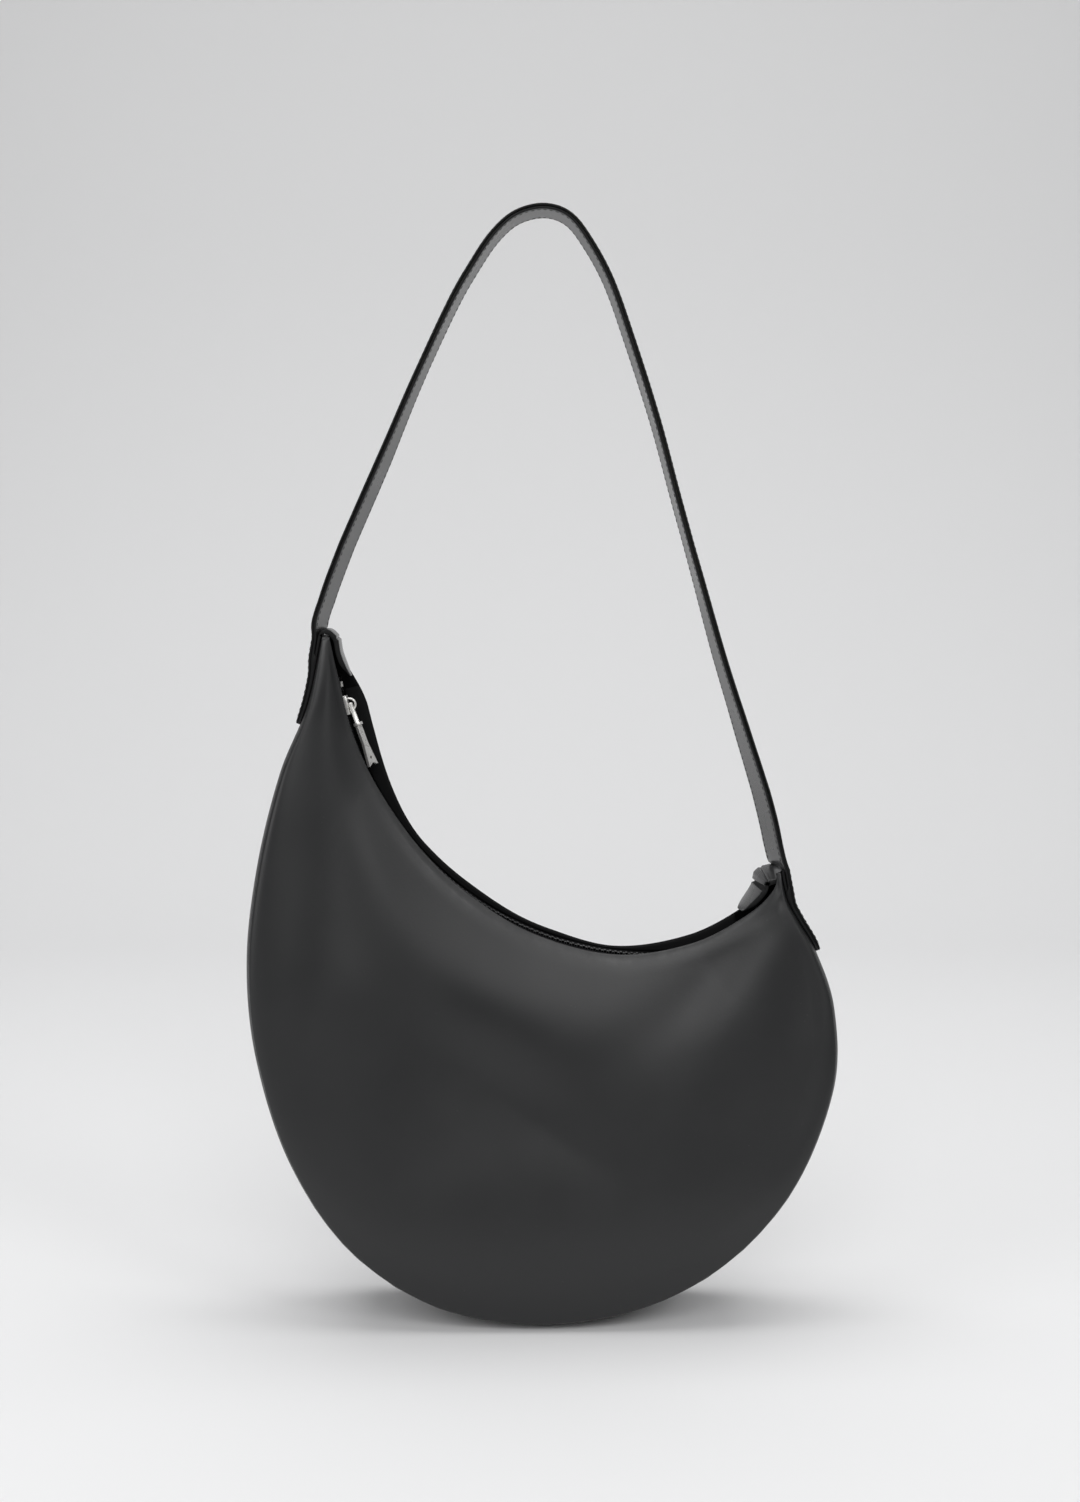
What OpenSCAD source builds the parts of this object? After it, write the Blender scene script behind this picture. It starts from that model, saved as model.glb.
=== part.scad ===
// Crescent shoulder bag: two panels on a deep gusset, a curved zip, and a strap
// that runs from tip to tip. The origin is on the ground under the middle of the
// bag, +Z is up and the front panel faces -Y. Lengths are in millimetres.

/* [Body] */
// Width across the widest part of the body
body_w = 346; // [310:2:390]
// Height of the left tip above the ground
body_h = 404; // [370:2:440]
// Depth of the gusset at its fullest
gusset_w = 76; // [64:2:92]
// Width of both tips and of the mouth between the panels
mouth_w = 28; // [27:1:34]
// Height of the gusset's crown over its two seams
crown_h = 4.6; // [3:0.2:7]
// How far a panel swells out past its seam
swell = 5; // [2:0.5:9]
// How far the back edge of the mouth rises over the front one by the left tip
back_rise = 10.5; // [4:0.5:12]

/* [Leather] */
// Thickness of the leather of the panels and the gusset
leather_t = 1.6; // [1.2:0.1:2]
// Thickness of the stiffener that keeps the gusset round
stiffener_t = 0.8; // [0.5:0.1:1.2]
// Thickness of the lining
lining_t = 0.6; // [0.4:0.1:0.9]
// Thickness of the facings that hold the zip
facing_t = 1.2; // [0.8:0.1:1.4]
// Greatest depth of a facing below the edge of the mouth
facing_h = 11; // [8:1:14]

/* [Strap] */
// Height of the top of the strap above the ground
strap_top = 647; // [600:5:760]
// Width of the strap
strap_w = 25; // [20:1:25]
// Thickness of each of the two leather layers of the strap
strap_layer_t = 1.6; // [1.2:0.1:2]
// Thickness of the reinforcing tape between the layers
strap_core_t = 0.4; // [0.2:0.1:0.8]
// Length of the strap at each tip that bends when the strap swings
root_len = 34; // [32:1:44]
// Length of the sewn strap end below each tip
tongue_len = 54; // [46:1:64]
// Thickness of the strap where it passes a tip, pared down
strap_tip_t = 3.2; // [2.4:0.1:3.6]
// Thickness of the round end of the sewn strap end
tongue_end_t = 2.6; // [1.6:0.1:3]
// Thickness of the tab that folds over each tip
tab_t = 1; // [0.8:0.1:1.6]
// Length of the tab's leg between the strap end and the gusset
tab_leg = 12; // [8:1:16]

/* [Zip] */
// Least depth of the zip below the edge of the mouth
zip_recess = 1; // [0.8:0.1:3]
// Thickness of the zip tape
tape_t = 0.6; // [0.4:0.1:0.8]
// Width of the closed row of teeth
chain_w = 6; // [5:0.5:7]
// Thickness of a tooth
tooth_t = 2.4; // [2:0.1:3]
// Length of a tooth along the zip
tooth_len = 1.2; // [0.9:0.1:1.3]
// Distance between two teeth on one tape
tooth_pitch = 3.2; // [3.2:0.1:4]
// Length of a stop at an end of the zip
stop_len = 3; // [2:0.5:4]

/* [Slider and puller] */
// Length of the slider
slider_len = 11; // [9:0.5:12]
// Width of the slider
slider_w = 9.6; // [9:0.2:11]
// Thickness of each plate of the slider
plate_t = 1; // [0.8:0.1:1.3]
// Height of the slider's bridge over its upper plate
bridge_h = 4.6; // [3.8:0.2:5.4]
// Diameter of the pin of the link under the bridge
link_pin_d = 1.6; // [1.2:0.1:1.8]
// Length of the link from its pin to the outer face of its collar
link_len = 13; // [12:0.5:15]
// Thickness of each arm of the link
arm_t = 1.1; // [0.8:0.1:1.3]
// Height of each arm of the link
arm_h = 2; // [1.6:0.1:2.2]
// Diameter of the collar at the end of the link
collar_d = 5.6; // [5.2:0.2:6.4]
// Diameter of the pull bar's neck in the collar
neck_d = 1.6; // [1.4:0.1:1.8]
// Length of the pull bar beyond the collar
bar_len = 25; // [20:1:25]
// Width of the pull bar at its neck
bar_w = 3.4; // [3:0.2:4]
// Width of the pull bar at its free end
bar_end_w = 7; // [5.6:0.2:7]
// Thickness of the pull bar
bar_t = 2.2; // [1.6:0.1:2.4]
// Turn of the pull bar about its own length, as it lies
bar_turn_a = 42; // [0:1:90]

/* [Hidden] */

// Fine clearance between pieces that lie on each other
gap = 0.3;
// Radial clearance of the pivots of the puller
pivot_gap = 0.08;
// Overrun of a cut past the face that it goes through
over = 1;
// Faces round a small pin or hole, and round the zip
round_steps = 40;
arc_steps = 240;

// Outer edge of the body from the left tip round the bottom to the right tip,
// in shares of half the body's width and of the body's height
edge_shares = [[-0.739, 1], [-0.789, 0.9], [-0.882, 0.803], [-0.96, 0.672], [-0.999, 0.532],
    [-0.971, 0.391], [-0.861, 0.239], [-0.665, 0.112], [-0.376, 0.028], [-0.029, 0],
    [0.324, 0.021], [0.624, 0.088], [0.855, 0.199], [0.986, 0.344], [0.986, 0.46],
    [0.922, 0.544], [0.861, 0.59], [0.823, 0.621], [0.801, 0.661]];
// Edge of the mouth from the left tip to the right tip, in the same shares
mouth_shares = [[-0.708, 0.999], [-0.679, 0.939], [-0.633, 0.86], [-0.549, 0.781],
    [-0.41, 0.695], [-0.249, 0.629], [-0.029, 0.571], [0.243, 0.541], [0.497, 0.557],
    [0.682, 0.598], [0.77, 0.634], [0.784, 0.66]];
// Left half of the strap from its root to its top, in shares of that step
left_strand_shares = [[0.006, 0.037], [0.04, 0.1], [0.139, 0.227], [0.292, 0.415], [0.439, 0.602],
    [0.601, 0.788], [0.701, 0.88], [0.79, 0.945], [0.885, 0.986]];
// Right half of the strap from its root to its top, in shares of that step
right_strand_shares = [[0.017, 0.018], [0.062, 0.079], [0.173, 0.202], [0.278, 0.325], [0.37, 0.446],
    [0.462, 0.567], [0.551, 0.687], [0.655, 0.806], [0.741, 0.894], [0.828, 0.953], [0.905, 0.988]];
// Top of the strap sideways, in shares of half the body's width
apex_share = 0.006;
// Tabs from the corner of the mouth at each tip, in shares of the strap's width
left_tab_shares = [[-0.15, 0.12], [0, 0.1], [0.13, -0.08], [0.19, -0.42], [0.4, -0.93]];
right_tab_shares = [[0.07, 0.08], [-0.12, 0.06], [-0.32, -0.01], [-0.45, -0.13], [-0.48, -0.37],
    [-0.61, -0.67], [-0.81, -0.98]];
// Three places on the mouth's edge that the zip's arc runs along, in shares
zip_guide_shares = [0.18, 0.5, 0.72];

// Steps along the body and along the facings
body_steps = 44;
facing_steps = 40;
// Half steps of the body beside each tip that have a ring of their own
tip_rings = 8;
// Places across a panel, a lining and half of the gusset, in shares
panel_rows_share = [0, 0.1, 0.25, 0.42, 0.6, 0.76, 0.87, 0.95, 1];
lining_rows_share = [0, 0.2, 0.45, 0.7, 0.88, 1];
gusset_rows_share = [-1, -0.82, -0.5, 0, 0.5, 0.82, 1];
// Power of the gusset's swelling along the body, and of its crown across it
fullness = 0.8;
crown_power = 3;
// Stretch of the body at each tip that the stiffener and the linings leave free, in shares
inner_free_share = 0.04;
// Where the facings start and end along the mouth, in shares
facing_span_share = [0.085, 0.9];
// Distance of the stiffener and the gusset's lining from the seams
inner_margin = 4;
// Distance of the panel linings from the seams and from the edge of the mouth
lining_seam_margin = 8;
lining_mouth_margin = 13;
// Distance of the facings from the edge of the mouth
facing_drop = 0.5;
// Most that the back edge's rise spreads along the mouth, in shares
rise_peak_share = 0.12;
rise_end_share = 0.36;

// Places along the zip, beside these shares of the mouth's edge
tape_start_share = 0.063;
top_stop_share = 0.0752;
slider_share = 0.108;
bottom_stop_share = 0.8025;
tape_end_share = 0.844;

half_w = body_w / 2;
mouth_half = mouth_w / 2;
gusset_half = gusset_w / 2;
strap_t = 2 * strap_layer_t + strap_core_t;

// One point of a smooth curve between b and c, at share t of the way
function between(a, b, c, d, t) =
    (2 * b + (c - a) * t + (2 * a - 5 * b + 4 * c - d) * t * t
     + (3 * b - a - 3 * c + d) * t * t * t) / 2;
// Smooth curve through the points p
function smooth(p, steps) =
    let (n = len(p), q = concat([2 * p[0] - p[1]], p, [2 * p[n - 1] - p[n - 2]]))
    concat([for (i = [1 : n - 1], k = [0 : steps - 1])
        between(q[i - 1], q[i], q[i + 1], q[i + 2], k / steps)], [p[n - 1]]);
// Length of the curve c up to each of its points
function lengths(c) =
    [for (i = 0, s = 0; i < len(c); s = s + (i < len(c) - 1 ? norm(c[i + 1] - c[i]) : 0), i = i + 1) s];
// Tables of both coordinates of the curve c over the share of its length
function tables(c) =
    let (s = lengths(c), total = s[len(s) - 1])
    [for (axis = [0, 1]) [for (i = [0 : len(c) - 1]) [s[i] / total, c[i][axis]]]];
function place(t, s) = [lookup(s, t[0]), lookup(s, t[1])];
// Unit direction of a curve and the unit normal on its right hand
function heading(t, s) =
    let (e = 0.004, d = place(t, min(1, s + e)) - place(t, max(0, s - e))) d / norm(d);
function right_of(d) = [d[1], -d[0]];
function in_3d(p, y) = [p[0], y, p[1]];
function mix(a, b, s) = a * (1 - s) + b * s;
function ramp(s) = let (k = max(0, min(1, s))) k * k * (3 - 2 * k);

// The outer edge is set out from the shares, then fitted to the width exactly
raw_edge = smooth([for (p = edge_shares) [p[0] * half_w, p[1] * body_h]], 8);
raw_table = tables(raw_edge);
raw_rings = [for (i = [0 : body_steps]) place(raw_table, i / body_steps)];
raw_left = min([for (p = raw_rings) p[0]]);
raw_right = max([for (p = raw_rings) p[0]]);
raw_low = min([for (p = raw_rings) p[1]]);
function fitted(p) =
    [(p[0] - (raw_left + raw_right) / 2) * body_w / (raw_right - raw_left), p[1] - raw_low];
edge_table = tables([for (p = raw_edge) fitted(p)]);
edge_length = let (s = lengths(raw_edge)) s[len(s) - 1];
mouth_table = tables(smooth([for (p = mouth_shares) fitted([p[0] * half_w, p[1] * body_h])], 8));
mouth_length = let (s = lengths(smooth([for (p = mouth_shares) [p[0] * half_w, p[1] * body_h]], 8)))
    s[len(s) - 1];

function edge_at(s) = place(edge_table, s);
function mouth_at(s) = place(mouth_table, s);
// Outward normals of the body's edge and of the mouth's edge, away from the bag
function edge_normal(s) = right_of(heading(edge_table, s));
function mouth_normal(s) = -right_of(heading(mouth_table, s));
// Rings of the body, closer together by the tips, and those that the linings use
body_rings = [for (i = [0 : 2 * body_steps])
    if (i % 2 == 0 || i < tip_rings || i > 2 * body_steps - tip_rings) i / (2 * body_steps)];
inner_rings = [for (s = body_rings) if (s > inner_free_share && s < 1 - inner_free_share) s];
// Half of the gusset's width, and the height of its crown, along the body
function fill_at(s) = pow(max(0, sin(180 * s)), fullness);
function half_at(s) = mouth_half + (gusset_half - mouth_half) * fill_at(s);
function crown_at(s) = crown_h * half_at(s) / gusset_half;
function seam_at(s) = edge_at(s) - edge_normal(s) * crown_at(s);
// Rise of the mouth's edge at the share s, for a greatest rise
function rise_at(s, rise) =
    rise * ramp(s / rise_peak_share) * (1 - ramp((s - rise_peak_share) / (rise_end_share - rise_peak_share)));

// Place across a panel, from the mouth's edge at v = 0 to the seam at v = 1
function panel_line(s, v, rise) =
    mix(mouth_at(s) + mouth_normal(s) * rise_at(s, rise), seam_at(s), v);
// Distance of a panel's outer face from the middle plane
function panel_depth(s, v) =
    let (g = 1 - pow(1 - v, 2))
    mix(mouth_half, half_at(s), g) + swell * fill_at(s) * v * sqrt(max(0, 1 - pow(v, 8)));
function panel_width(s, rise) = norm(panel_line(s, 1, rise) - panel_line(s, 0, rise));
// A point of a panel's outer face, and one of its inner face
function panel_outer(s, v, rise) = in_3d(panel_line(s, v, rise), -panel_depth(s, v));
function panel_inner(s, v, rise) =
    let (turn = v >= 1 ? leather_t : 0)
    in_3d(panel_line(s, v, rise) - edge_normal(s) * turn, leather_t - panel_depth(s, v));

// Centre of the circle through three points
function centre_of(a, b, c) =
    let (p = b - a, q = c - a, turn = 2 * (p[0] * q[1] - p[1] * q[0]))
    a + [q[1] * (p * p) - p[1] * (q * q), p[0] * (q * q) - q[0] * (p * p)] / turn;
// Centre and radius of the zip's arc: the zip lies under the mouth's edge all along
zip_centre = centre_of(mouth_at(zip_guide_shares[0]), mouth_at(zip_guide_shares[1]),
    mouth_at(zip_guide_shares[2]));
zip_reach = max([for (i = [0 : facing_steps])
    norm(mouth_at(mix(facing_span_share[0], facing_span_share[1], i / facing_steps)) - zip_centre)]);
zip_r = zip_reach + zip_recess;
tape_half = mouth_half - leather_t - gap - facing_t / 2;
// Angle round the centre of the zip's arc, beside a share of the mouth's edge
function angle_at(s) = let (d = mouth_at(s) - zip_centre) (atan2(d[1], d[0]) + 360) % 360;
tape_start_a = angle_at(tape_start_share);
top_stop_a = angle_at(top_stop_share);
slider_a = angle_at(slider_share);
bottom_stop_a = angle_at(bottom_stop_share);
tape_end_a = angle_at(tape_end_share);

// The strap's centre line, from its left root over the top to its right root
root_stand = 2 * gap + tab_t + strap_tip_t / 2;
left_root = edge_at(0) + edge_normal(0) * root_stand;
right_root = edge_at(1) + edge_normal(1) * root_stand;
apex = [apex_share * half_w, strap_top - strap_t / 2];
function stepped(from, to, share) =
    [from[0] + (to[0] - from[0]) * share[0], from[1] + (to[1] - from[1]) * share[1]];
strap_line = smooth(concat([left_root], [for (p = left_strand_shares) stepped(left_root, apex, p)],
    [apex], [for (i = [len(right_strand_shares) - 1 : -1 : 0])
        stepped(right_root, apex, right_strand_shares[i])], [right_root]), 5);
strap_table = tables(strap_line);
strap_length = let (s = lengths(strap_line)) s[len(s) - 1];
root_share = root_len / strap_length;
strap_steps = 84;
root_steps = 8;
tongue_steps = 14;
tab_steps = 6;

// Closed solid between an outer and an inner grid of points
module sheet(outer, inner) {
    rows = len(outer);
    cols = len(outer[0]);
    function o(r, c) = r * cols + c;
    function i(r, c) = (rows + r) * cols + c;
    skin = [for (r = [0 : rows - 2], c = [0 : cols - 2]) each [
        [o(r, c), o(r + 1, c), o(r + 1, c + 1)], [o(r, c), o(r + 1, c + 1), o(r, c + 1)],
        [i(r, c), i(r + 1, c + 1), i(r + 1, c)], [i(r, c), i(r, c + 1), i(r + 1, c + 1)]]];
    last = cols - 1;
    long_rims = [for (r = [0 : rows - 2]) each [
        [o(r + 1, 0), o(r, 0), i(r, 0)], [o(r + 1, 0), i(r, 0), i(r + 1, 0)],
        [o(r, last), o(r + 1, last), i(r + 1, last)], [o(r, last), i(r + 1, last), i(r, last)]]];
    end = rows - 1;
    short_rims = [for (c = [0 : cols - 2]) each [
        [o(0, c), o(0, c + 1), i(0, c + 1)], [o(0, c), i(0, c + 1), i(0, c)],
        [o(end, c + 1), o(end, c), i(end, c)], [o(end, c + 1), i(end, c), i(end, c + 1)]]];
    polyhedron(concat([for (row = outer) each row], [for (row = inner) each row]),
        concat(skin, long_rims, short_rims));
}

// Flat band in the plane of the bag, w wide, between two edges of points
module band(a, b, w) {
    rotate([90, 0, 0]) linear_extrude(w, center = true)
        polygon(concat(a, [for (i = [len(b) - 1 : -1 : 0]) b[i]]));
}

module panel(rise) {
    sheet([for (s = body_rings) [for (v = panel_rows_share) panel_outer(s, v, rise)]],
        [for (s = body_rings) [for (v = panel_rows_share) panel_inner(s, v, rise)]]);
}

module front_panel() {
    color("#2b2b2d") panel(0);
}

module back_panel() {
    color("#2b2b2d") mirror([0, 1, 0]) panel(back_rise);
}

// A point of the gusset at depth d under its outer face, at share k of its half width
function gusset_point(s, k, d, half) =
    in_3d(edge_at(s) - edge_normal(s) * (crown_at(s) * pow(abs(k) * half / half_at(s), crown_power) + d),
        k * half);
// Layer of the gusset between two depths, with its edges in from the seams
module gusset_layer(from, depth, margin, bevel, rings) {
    sheet([for (s = rings) [for (k = gusset_rows_share) gusset_point(s, k, from, half_at(s) - margin)]],
        [for (s = rings) [for (k = gusset_rows_share)
            gusset_point(s, k, from + depth, half_at(s) - margin - bevel)]]);
}

module gusset() {
    color("#262628") gusset_layer(0, leather_t, gap, leather_t, body_rings);
}

module gusset_stiffener() {
    color("#8a7f70") gusset_layer(leather_t + gap, stiffener_t, inner_margin, 0, inner_rings);
}

module gusset_lining() {
    color("#3a3937") gusset_layer(leather_t + 2 * gap + stiffener_t, lining_t, inner_margin, 0,
        inner_rings);
}

// Lining behind a panel: it stays clear of the seam and of the facing
module panel_lining(rise) {
    function v_at(s, k) =
        let (w = panel_width(s, rise))
        mix(min(0.45, lining_mouth_margin / w), 1 - min(0.45, lining_seam_margin / w), k);
    function grid(d) = [for (s = inner_rings)
        [for (k = lining_rows_share) let (v = v_at(s, k))
            in_3d(panel_line(s, v, rise), leather_t + d - panel_depth(s, v))]];
    sheet(grid(2 * gap), grid(2 * gap + lining_t));
}

module front_lining() {
    color("#3a3937") panel_lining(0);
}

module back_lining() {
    color("#3a3937") mirror([0, 1, 0]) panel_lining(back_rise);
}

// Strip inside the mouth, from just under its edge down to the zip tape
module facing(rise) {
    function top(s) = mouth_at(s) + mouth_normal(s) * (rise_at(s, rise) - facing_drop);
    function foot(s) =
        let (m = mouth_at(s), d = norm(m - zip_centre))
        m + (m - zip_centre) / d * min(facing_h, zip_r - gap - d);
    function grid(y) = [for (i = [0 : facing_steps])
        let (s = mix(facing_span_share[0], facing_span_share[1], i / facing_steps))
        [in_3d(top(s), y), in_3d(foot(s), y)]];
    outer_y = leather_t + gap - mouth_half;
    sheet(grid(outer_y), grid(outer_y + facing_t));
}

module front_mouth_facing() {
    color("#1f1f21") facing(0);
}

module back_mouth_facing() {
    color("#1f1f21") mirror([0, 1, 0]) facing(back_rise);
}

// Ring of a profile round the centre of the zip's arc: x is the radius, y the depth to the front
module zip_ring(from_a, to_a) {
    translate(in_3d(zip_centre, 0)) rotate([90, 0, 0]) rotate([0, 0, from_a])
        rotate_extrude(angle = to_a - from_a, $fn = arc_steps) children();
}

// Frame on the zip: +X along it towards the right tip, +Z out of the mouth
module on_zip(a) {
    translate(in_3d(zip_centre, 0)) rotate([0, 270 - a, 0]) translate([0, 0, -zip_r]) children();
}

function zip_angle(length) = length / zip_r * 180 / PI;

module front_zip_tape() {
    color("#161618") zip_ring(tape_start_a, tape_end_a)
        translate([zip_r, chain_w / 2 + pivot_gap]) square([tape_t, tape_half - chain_w / 2 - pivot_gap]);
}

module back_zip_tape() {
    color("#161618") zip_ring(tape_start_a, tape_end_a)
        translate([zip_r, -tape_half]) square([tape_t, tape_half - chain_w / 2 - pivot_gap]);
}

// Teeth on one tape, from the slider to the bottom stop
tooth_reach = chain_w / 2 + 0.1 * chain_w;
first_tooth_a = slider_a + zip_angle(tooth_len);
last_tooth_a = bottom_stop_a - zip_angle(stop_len / 2 + tooth_pitch);
tooth_count = floor((last_tooth_a - first_tooth_a) / zip_angle(tooth_pitch));
open_tooth_a = top_stop_a + zip_angle(stop_len);
module tooth(a, reach) {
    on_zip(a) translate([-tooth_len / 2, -chain_w / 2, -(tape_t + tooth_t) / 2])
        cube([tooth_len, reach, tooth_t]);
}
module teeth(shift) {
    for (i = [0 : tooth_count - 1])
        tooth(first_tooth_a + zip_angle((i + shift) * tooth_pitch), tooth_reach);
    tooth(open_tooth_a + zip_angle(shift * tooth_pitch), chain_w / 3);
}

module front_zip_teeth() {
    color("#202022") teeth(0);
}

module back_zip_teeth() {
    color("#202022") mirror([0, 1, 0]) teeth(0.5);
}

// A stop is a small block across the inner edge of a tape or of both
module zip_stop(y0, y1) {
    translate([-stop_len / 2, y0, -(tape_t + tooth_t) / 2]) cube([stop_len, y1 - y0, tooth_t]);
}

module zip_top_stops() {
    color("silver") on_zip(top_stop_a) {
        zip_stop(-chain_w / 2, -chain_w / 2 + stop_len / 2);
        zip_stop(chain_w / 2 - stop_len / 2, chain_w / 2);
    }
}

module zip_bottom_stop() {
    color("silver") on_zip(bottom_stop_a) zip_stop(-chain_w / 2, chain_w / 2);
}

// Slider: two plates with flanges over the tapes, joined by the wedge at its front
channel_half = tooth_t / 2 + gap;
slider_half_a = zip_angle(slider_len / 2);
wedge_len = 3.2;
wedge_w = 1.6;
flange_clear = 0.8;
flange_in = chain_w / 2 + flange_clear;
plate_top = channel_half + plate_t - tape_t / 2;
module slider_body() {
    mid_r = zip_r + tape_t / 2;
    color("#b9b9bc") union() {
        zip_ring(slider_a - slider_half_a, slider_a + slider_half_a) {
            for (side = [-1, 1]) {
                translate([mid_r + side * (channel_half + plate_t / 2), 0])
                    square([plate_t, slider_w], center = true);
                for (edge = [-1, 1])
                    translate([mid_r + side * (channel_half + plate_t / 2 + tape_t / 2 + gap) / 2,
                        edge * (flange_in + slider_w / 2) / 2])
                        square([channel_half + plate_t / 2 - tape_t / 2 - gap, slider_w / 2 - flange_in],
                            center = true);
            }
        }
        on_zip(slider_a) translate([-slider_len / 2, -wedge_w / 2, -tape_t / 2 - channel_half - plate_t / 2])
            cube([wedge_len, wedge_w, 2 * channel_half + plate_t]);
    }
}

// Bridge: an arch along the slider that the link's pin passes under
bridge_w = 2.4;
bridge_t = 1;
bridge_half = 4.2;
link_z = plate_top + gap + arm_h / 2;
bridge_top = plate_top + bridge_h;
// The plate is hollow along the zip, so the bridge's feet stand a little over its middle
plate_r = zip_r - plate_top;
bridge_foot = plate_top + pivot_gap + plate_r - sqrt(plate_r * plate_r - bridge_half * bridge_half);
arch_r = min(bridge_half, bridge_top - bridge_foot);
// Round arch with straight feet that reach past the plate
module arch(r) {
    translate([0, bridge_top - arch_r]) circle(r = r, $fn = round_steps);
    translate([-r, plate_top - over]) square([2 * r, bridge_top - arch_r - plate_top + over]);
}
module slider_bridge() {
    color("#c4c4c8") on_zip(slider_a) rotate([90, 0, 0]) linear_extrude(bridge_w, center = true)
        intersection() {
            translate([-arch_r, bridge_foot]) square([2 * arch_r, bridge_top - bridge_foot]);
            difference() {
                arch(arch_r);
                arch(arch_r - bridge_t);
            }
        }
}

// The puller's own line: it rises off the zip so that the free end of the bar
// clears the teeth however the bar is turned
puller_len = link_len + bar_len;
end_reach = norm([bar_end_w, bar_t]) / 2;
end_rise = puller_len * puller_len / (2 * zip_r) + (tooth_t - tape_t) / 2 + gap + end_reach - link_z;
rest_a = asin(end_rise / puller_len);
module on_puller() {
    on_zip(slider_a) translate([0, 0, link_z]) rotate([0, -rest_a, 0]) children();
}
// Round bar along the puller's line
module along_puller(from, length, d) {
    translate([from, 0, 0]) rotate([0, 90, 0]) cylinder(length, r = d / 2, $fn = round_steps);
}

// Link: a pin under the bridge, two arms round it and a collar for the pull bar's neck
arm_in = bridge_w / 2 + gap;
link_w = 2 * (arm_in + arm_t);
collar_t = 1.6;
head_t = 1;
head_d = 2 * arm_in - gap;
module puller_link() {
    color("#c4c4c8") on_puller() {
        rotate([90, 0, 0]) cylinder(link_w, r = link_pin_d / 2, center = true, $fn = round_steps);
        for (side = [-1, 1]) translate([0, side * (arm_in + arm_t / 2), 0]) {
            rotate([90, 0, 0]) cylinder(arm_t, r = arm_h / 2, center = true, $fn = round_steps);
            translate([0, -arm_t / 2, -arm_h / 2]) cube([link_len - collar_t, arm_t, arm_h]);
        }
        difference() {
            along_puller(link_len - collar_t, collar_t, collar_d);
            along_puller(link_len - collar_t - over, collar_t + 2 * over, neck_d + 2 * pivot_gap);
        }
    }
}

// Pull bar: a neck with a head inside the link, and a flared bar with a notched end
neck_len = 1;
notch_share = 0.26;
flare_share = 0.45;
hole_share = 0.7;
bar_hole_d = 1.8;
module pull_bar() {
    color("#c4c4c8") on_puller() rotate([bar_turn_a, 0, 0]) {
        along_puller(link_len - collar_t - gap - head_t, head_t, head_d);
        along_puller(link_len - collar_t - gap - head_t / 2, collar_t + gap + neck_len + head_t / 2, neck_d);
        translate([link_len, 0, 0]) difference() {
            translate([0, 0, -bar_t / 2]) linear_extrude(bar_t)
                polygon([[gap, -bar_w / 2], [bar_len * flare_share, -bar_w / 2],
                    [bar_len, -bar_end_w / 2], [bar_len - bar_end_w * notch_share, 0],
                    [bar_len, bar_end_w / 2], [bar_len * flare_share, bar_w / 2], [gap, bar_w / 2]]);
            translate([bar_len - bar_end_w * hole_share, 0, -bar_t / 2 - over])
                cylinder(bar_t + 2 * over, r = bar_hole_d / 2, $fn = round_steps);
        }
    }
}

// Points beside a curve of the table t, at offset d to its right, over the shares s
function beside(t, s, d) = [for (k = s) place(t, k) + right_of(heading(t, k)) * d];
// Stretch of the strap between two shares of its length and two offsets inwards
module strap_layer(from, to, steps, d0, d1) {
    s = [for (i = [0 : steps]) mix(from, to, i / steps)];
    band(beside(strap_table, s, d0), beside(strap_table, s, d1), strap_w);
}
strap_from = root_share + gap / strap_length;

module strap_outer_layer() {
    color("#29292b") strap_layer(strap_from, 1 - strap_from, strap_steps, -strap_t / 2, -strap_core_t / 2);
}

module strap_core() {
    color("#6d675e") strap_layer(strap_from, 1 - strap_from, strap_steps, -strap_core_t / 2, strap_core_t / 2);
}

module strap_inner_layer() {
    color("#39393c") strap_layer(strap_from, 1 - strap_from, strap_steps, strap_core_t / 2, strap_t / 2);
}

// Root of the strap beside a tip, pared down towards the tip
module strap_root(from, to, t0, t1) {
    function side(way) = [for (i = [0 : root_steps])
        let (k = mix(from, to, i / root_steps))
        place(strap_table, k) + right_of(heading(strap_table, k)) * way * mix(t0, t1, i / root_steps) / 2];
    band(side(-1), side(1), strap_w);
}

seat_share = 2 * gap / strap_length;
module left_strap_root() {
    color("#29292b") strap_root(seat_share, root_share, strap_tip_t, strap_t);
}

module right_strap_root() {
    color("#29292b") strap_root(1 - root_share, 1 - seat_share, strap_t, strap_tip_t);
}

// Sewn end of the strap on the gusset, pared down towards a round end. It starts at
// the share start of the edge and runs in the direction way, 1 or -1.
module strap_end(start, way) {
    tongue = tongue_len / edge_length;
    function along(k) = start + way * tongue * k;
    function lift(k) = (tab_t + gap) * (1 - ramp((k * tongue_len - tab_leg) / tab_leg));
    shares = [for (i = [0 : tongue_steps]) i / tongue_steps];
    inner = [for (k = shares) edge_at(along(k)) + edge_normal(along(k)) * (gap + lift(k))];
    outer = [for (k = shares) edge_at(along(k))
        + edge_normal(along(k)) * (gap + lift(k) + mix(strap_tip_t, tongue_end_t, k))];
    centre = along(1 - strap_w / 2 / tongue_len);
    aim = heading(edge_table, centre) * way;
    intersection() {
        band(inner, outer, strap_w);
        translate(in_3d(edge_at(centre), 0)) rotate([0, atan2(-aim[1], aim[0]), 0]) {
            cylinder(4 * strap_w, r = strap_w / 2, center = true, $fn = arc_steps);
            translate([-2 * tongue_len, -strap_w / 2, -2 * strap_w])
                cube([2 * tongue_len, strap_w, 4 * strap_w]);
        }
    }
}

module left_strap_end() {
    color("#29292b") strap_end(0, 1);
}

module right_strap_end() {
    color("#29292b") strap_end(1, -1);
}

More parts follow.
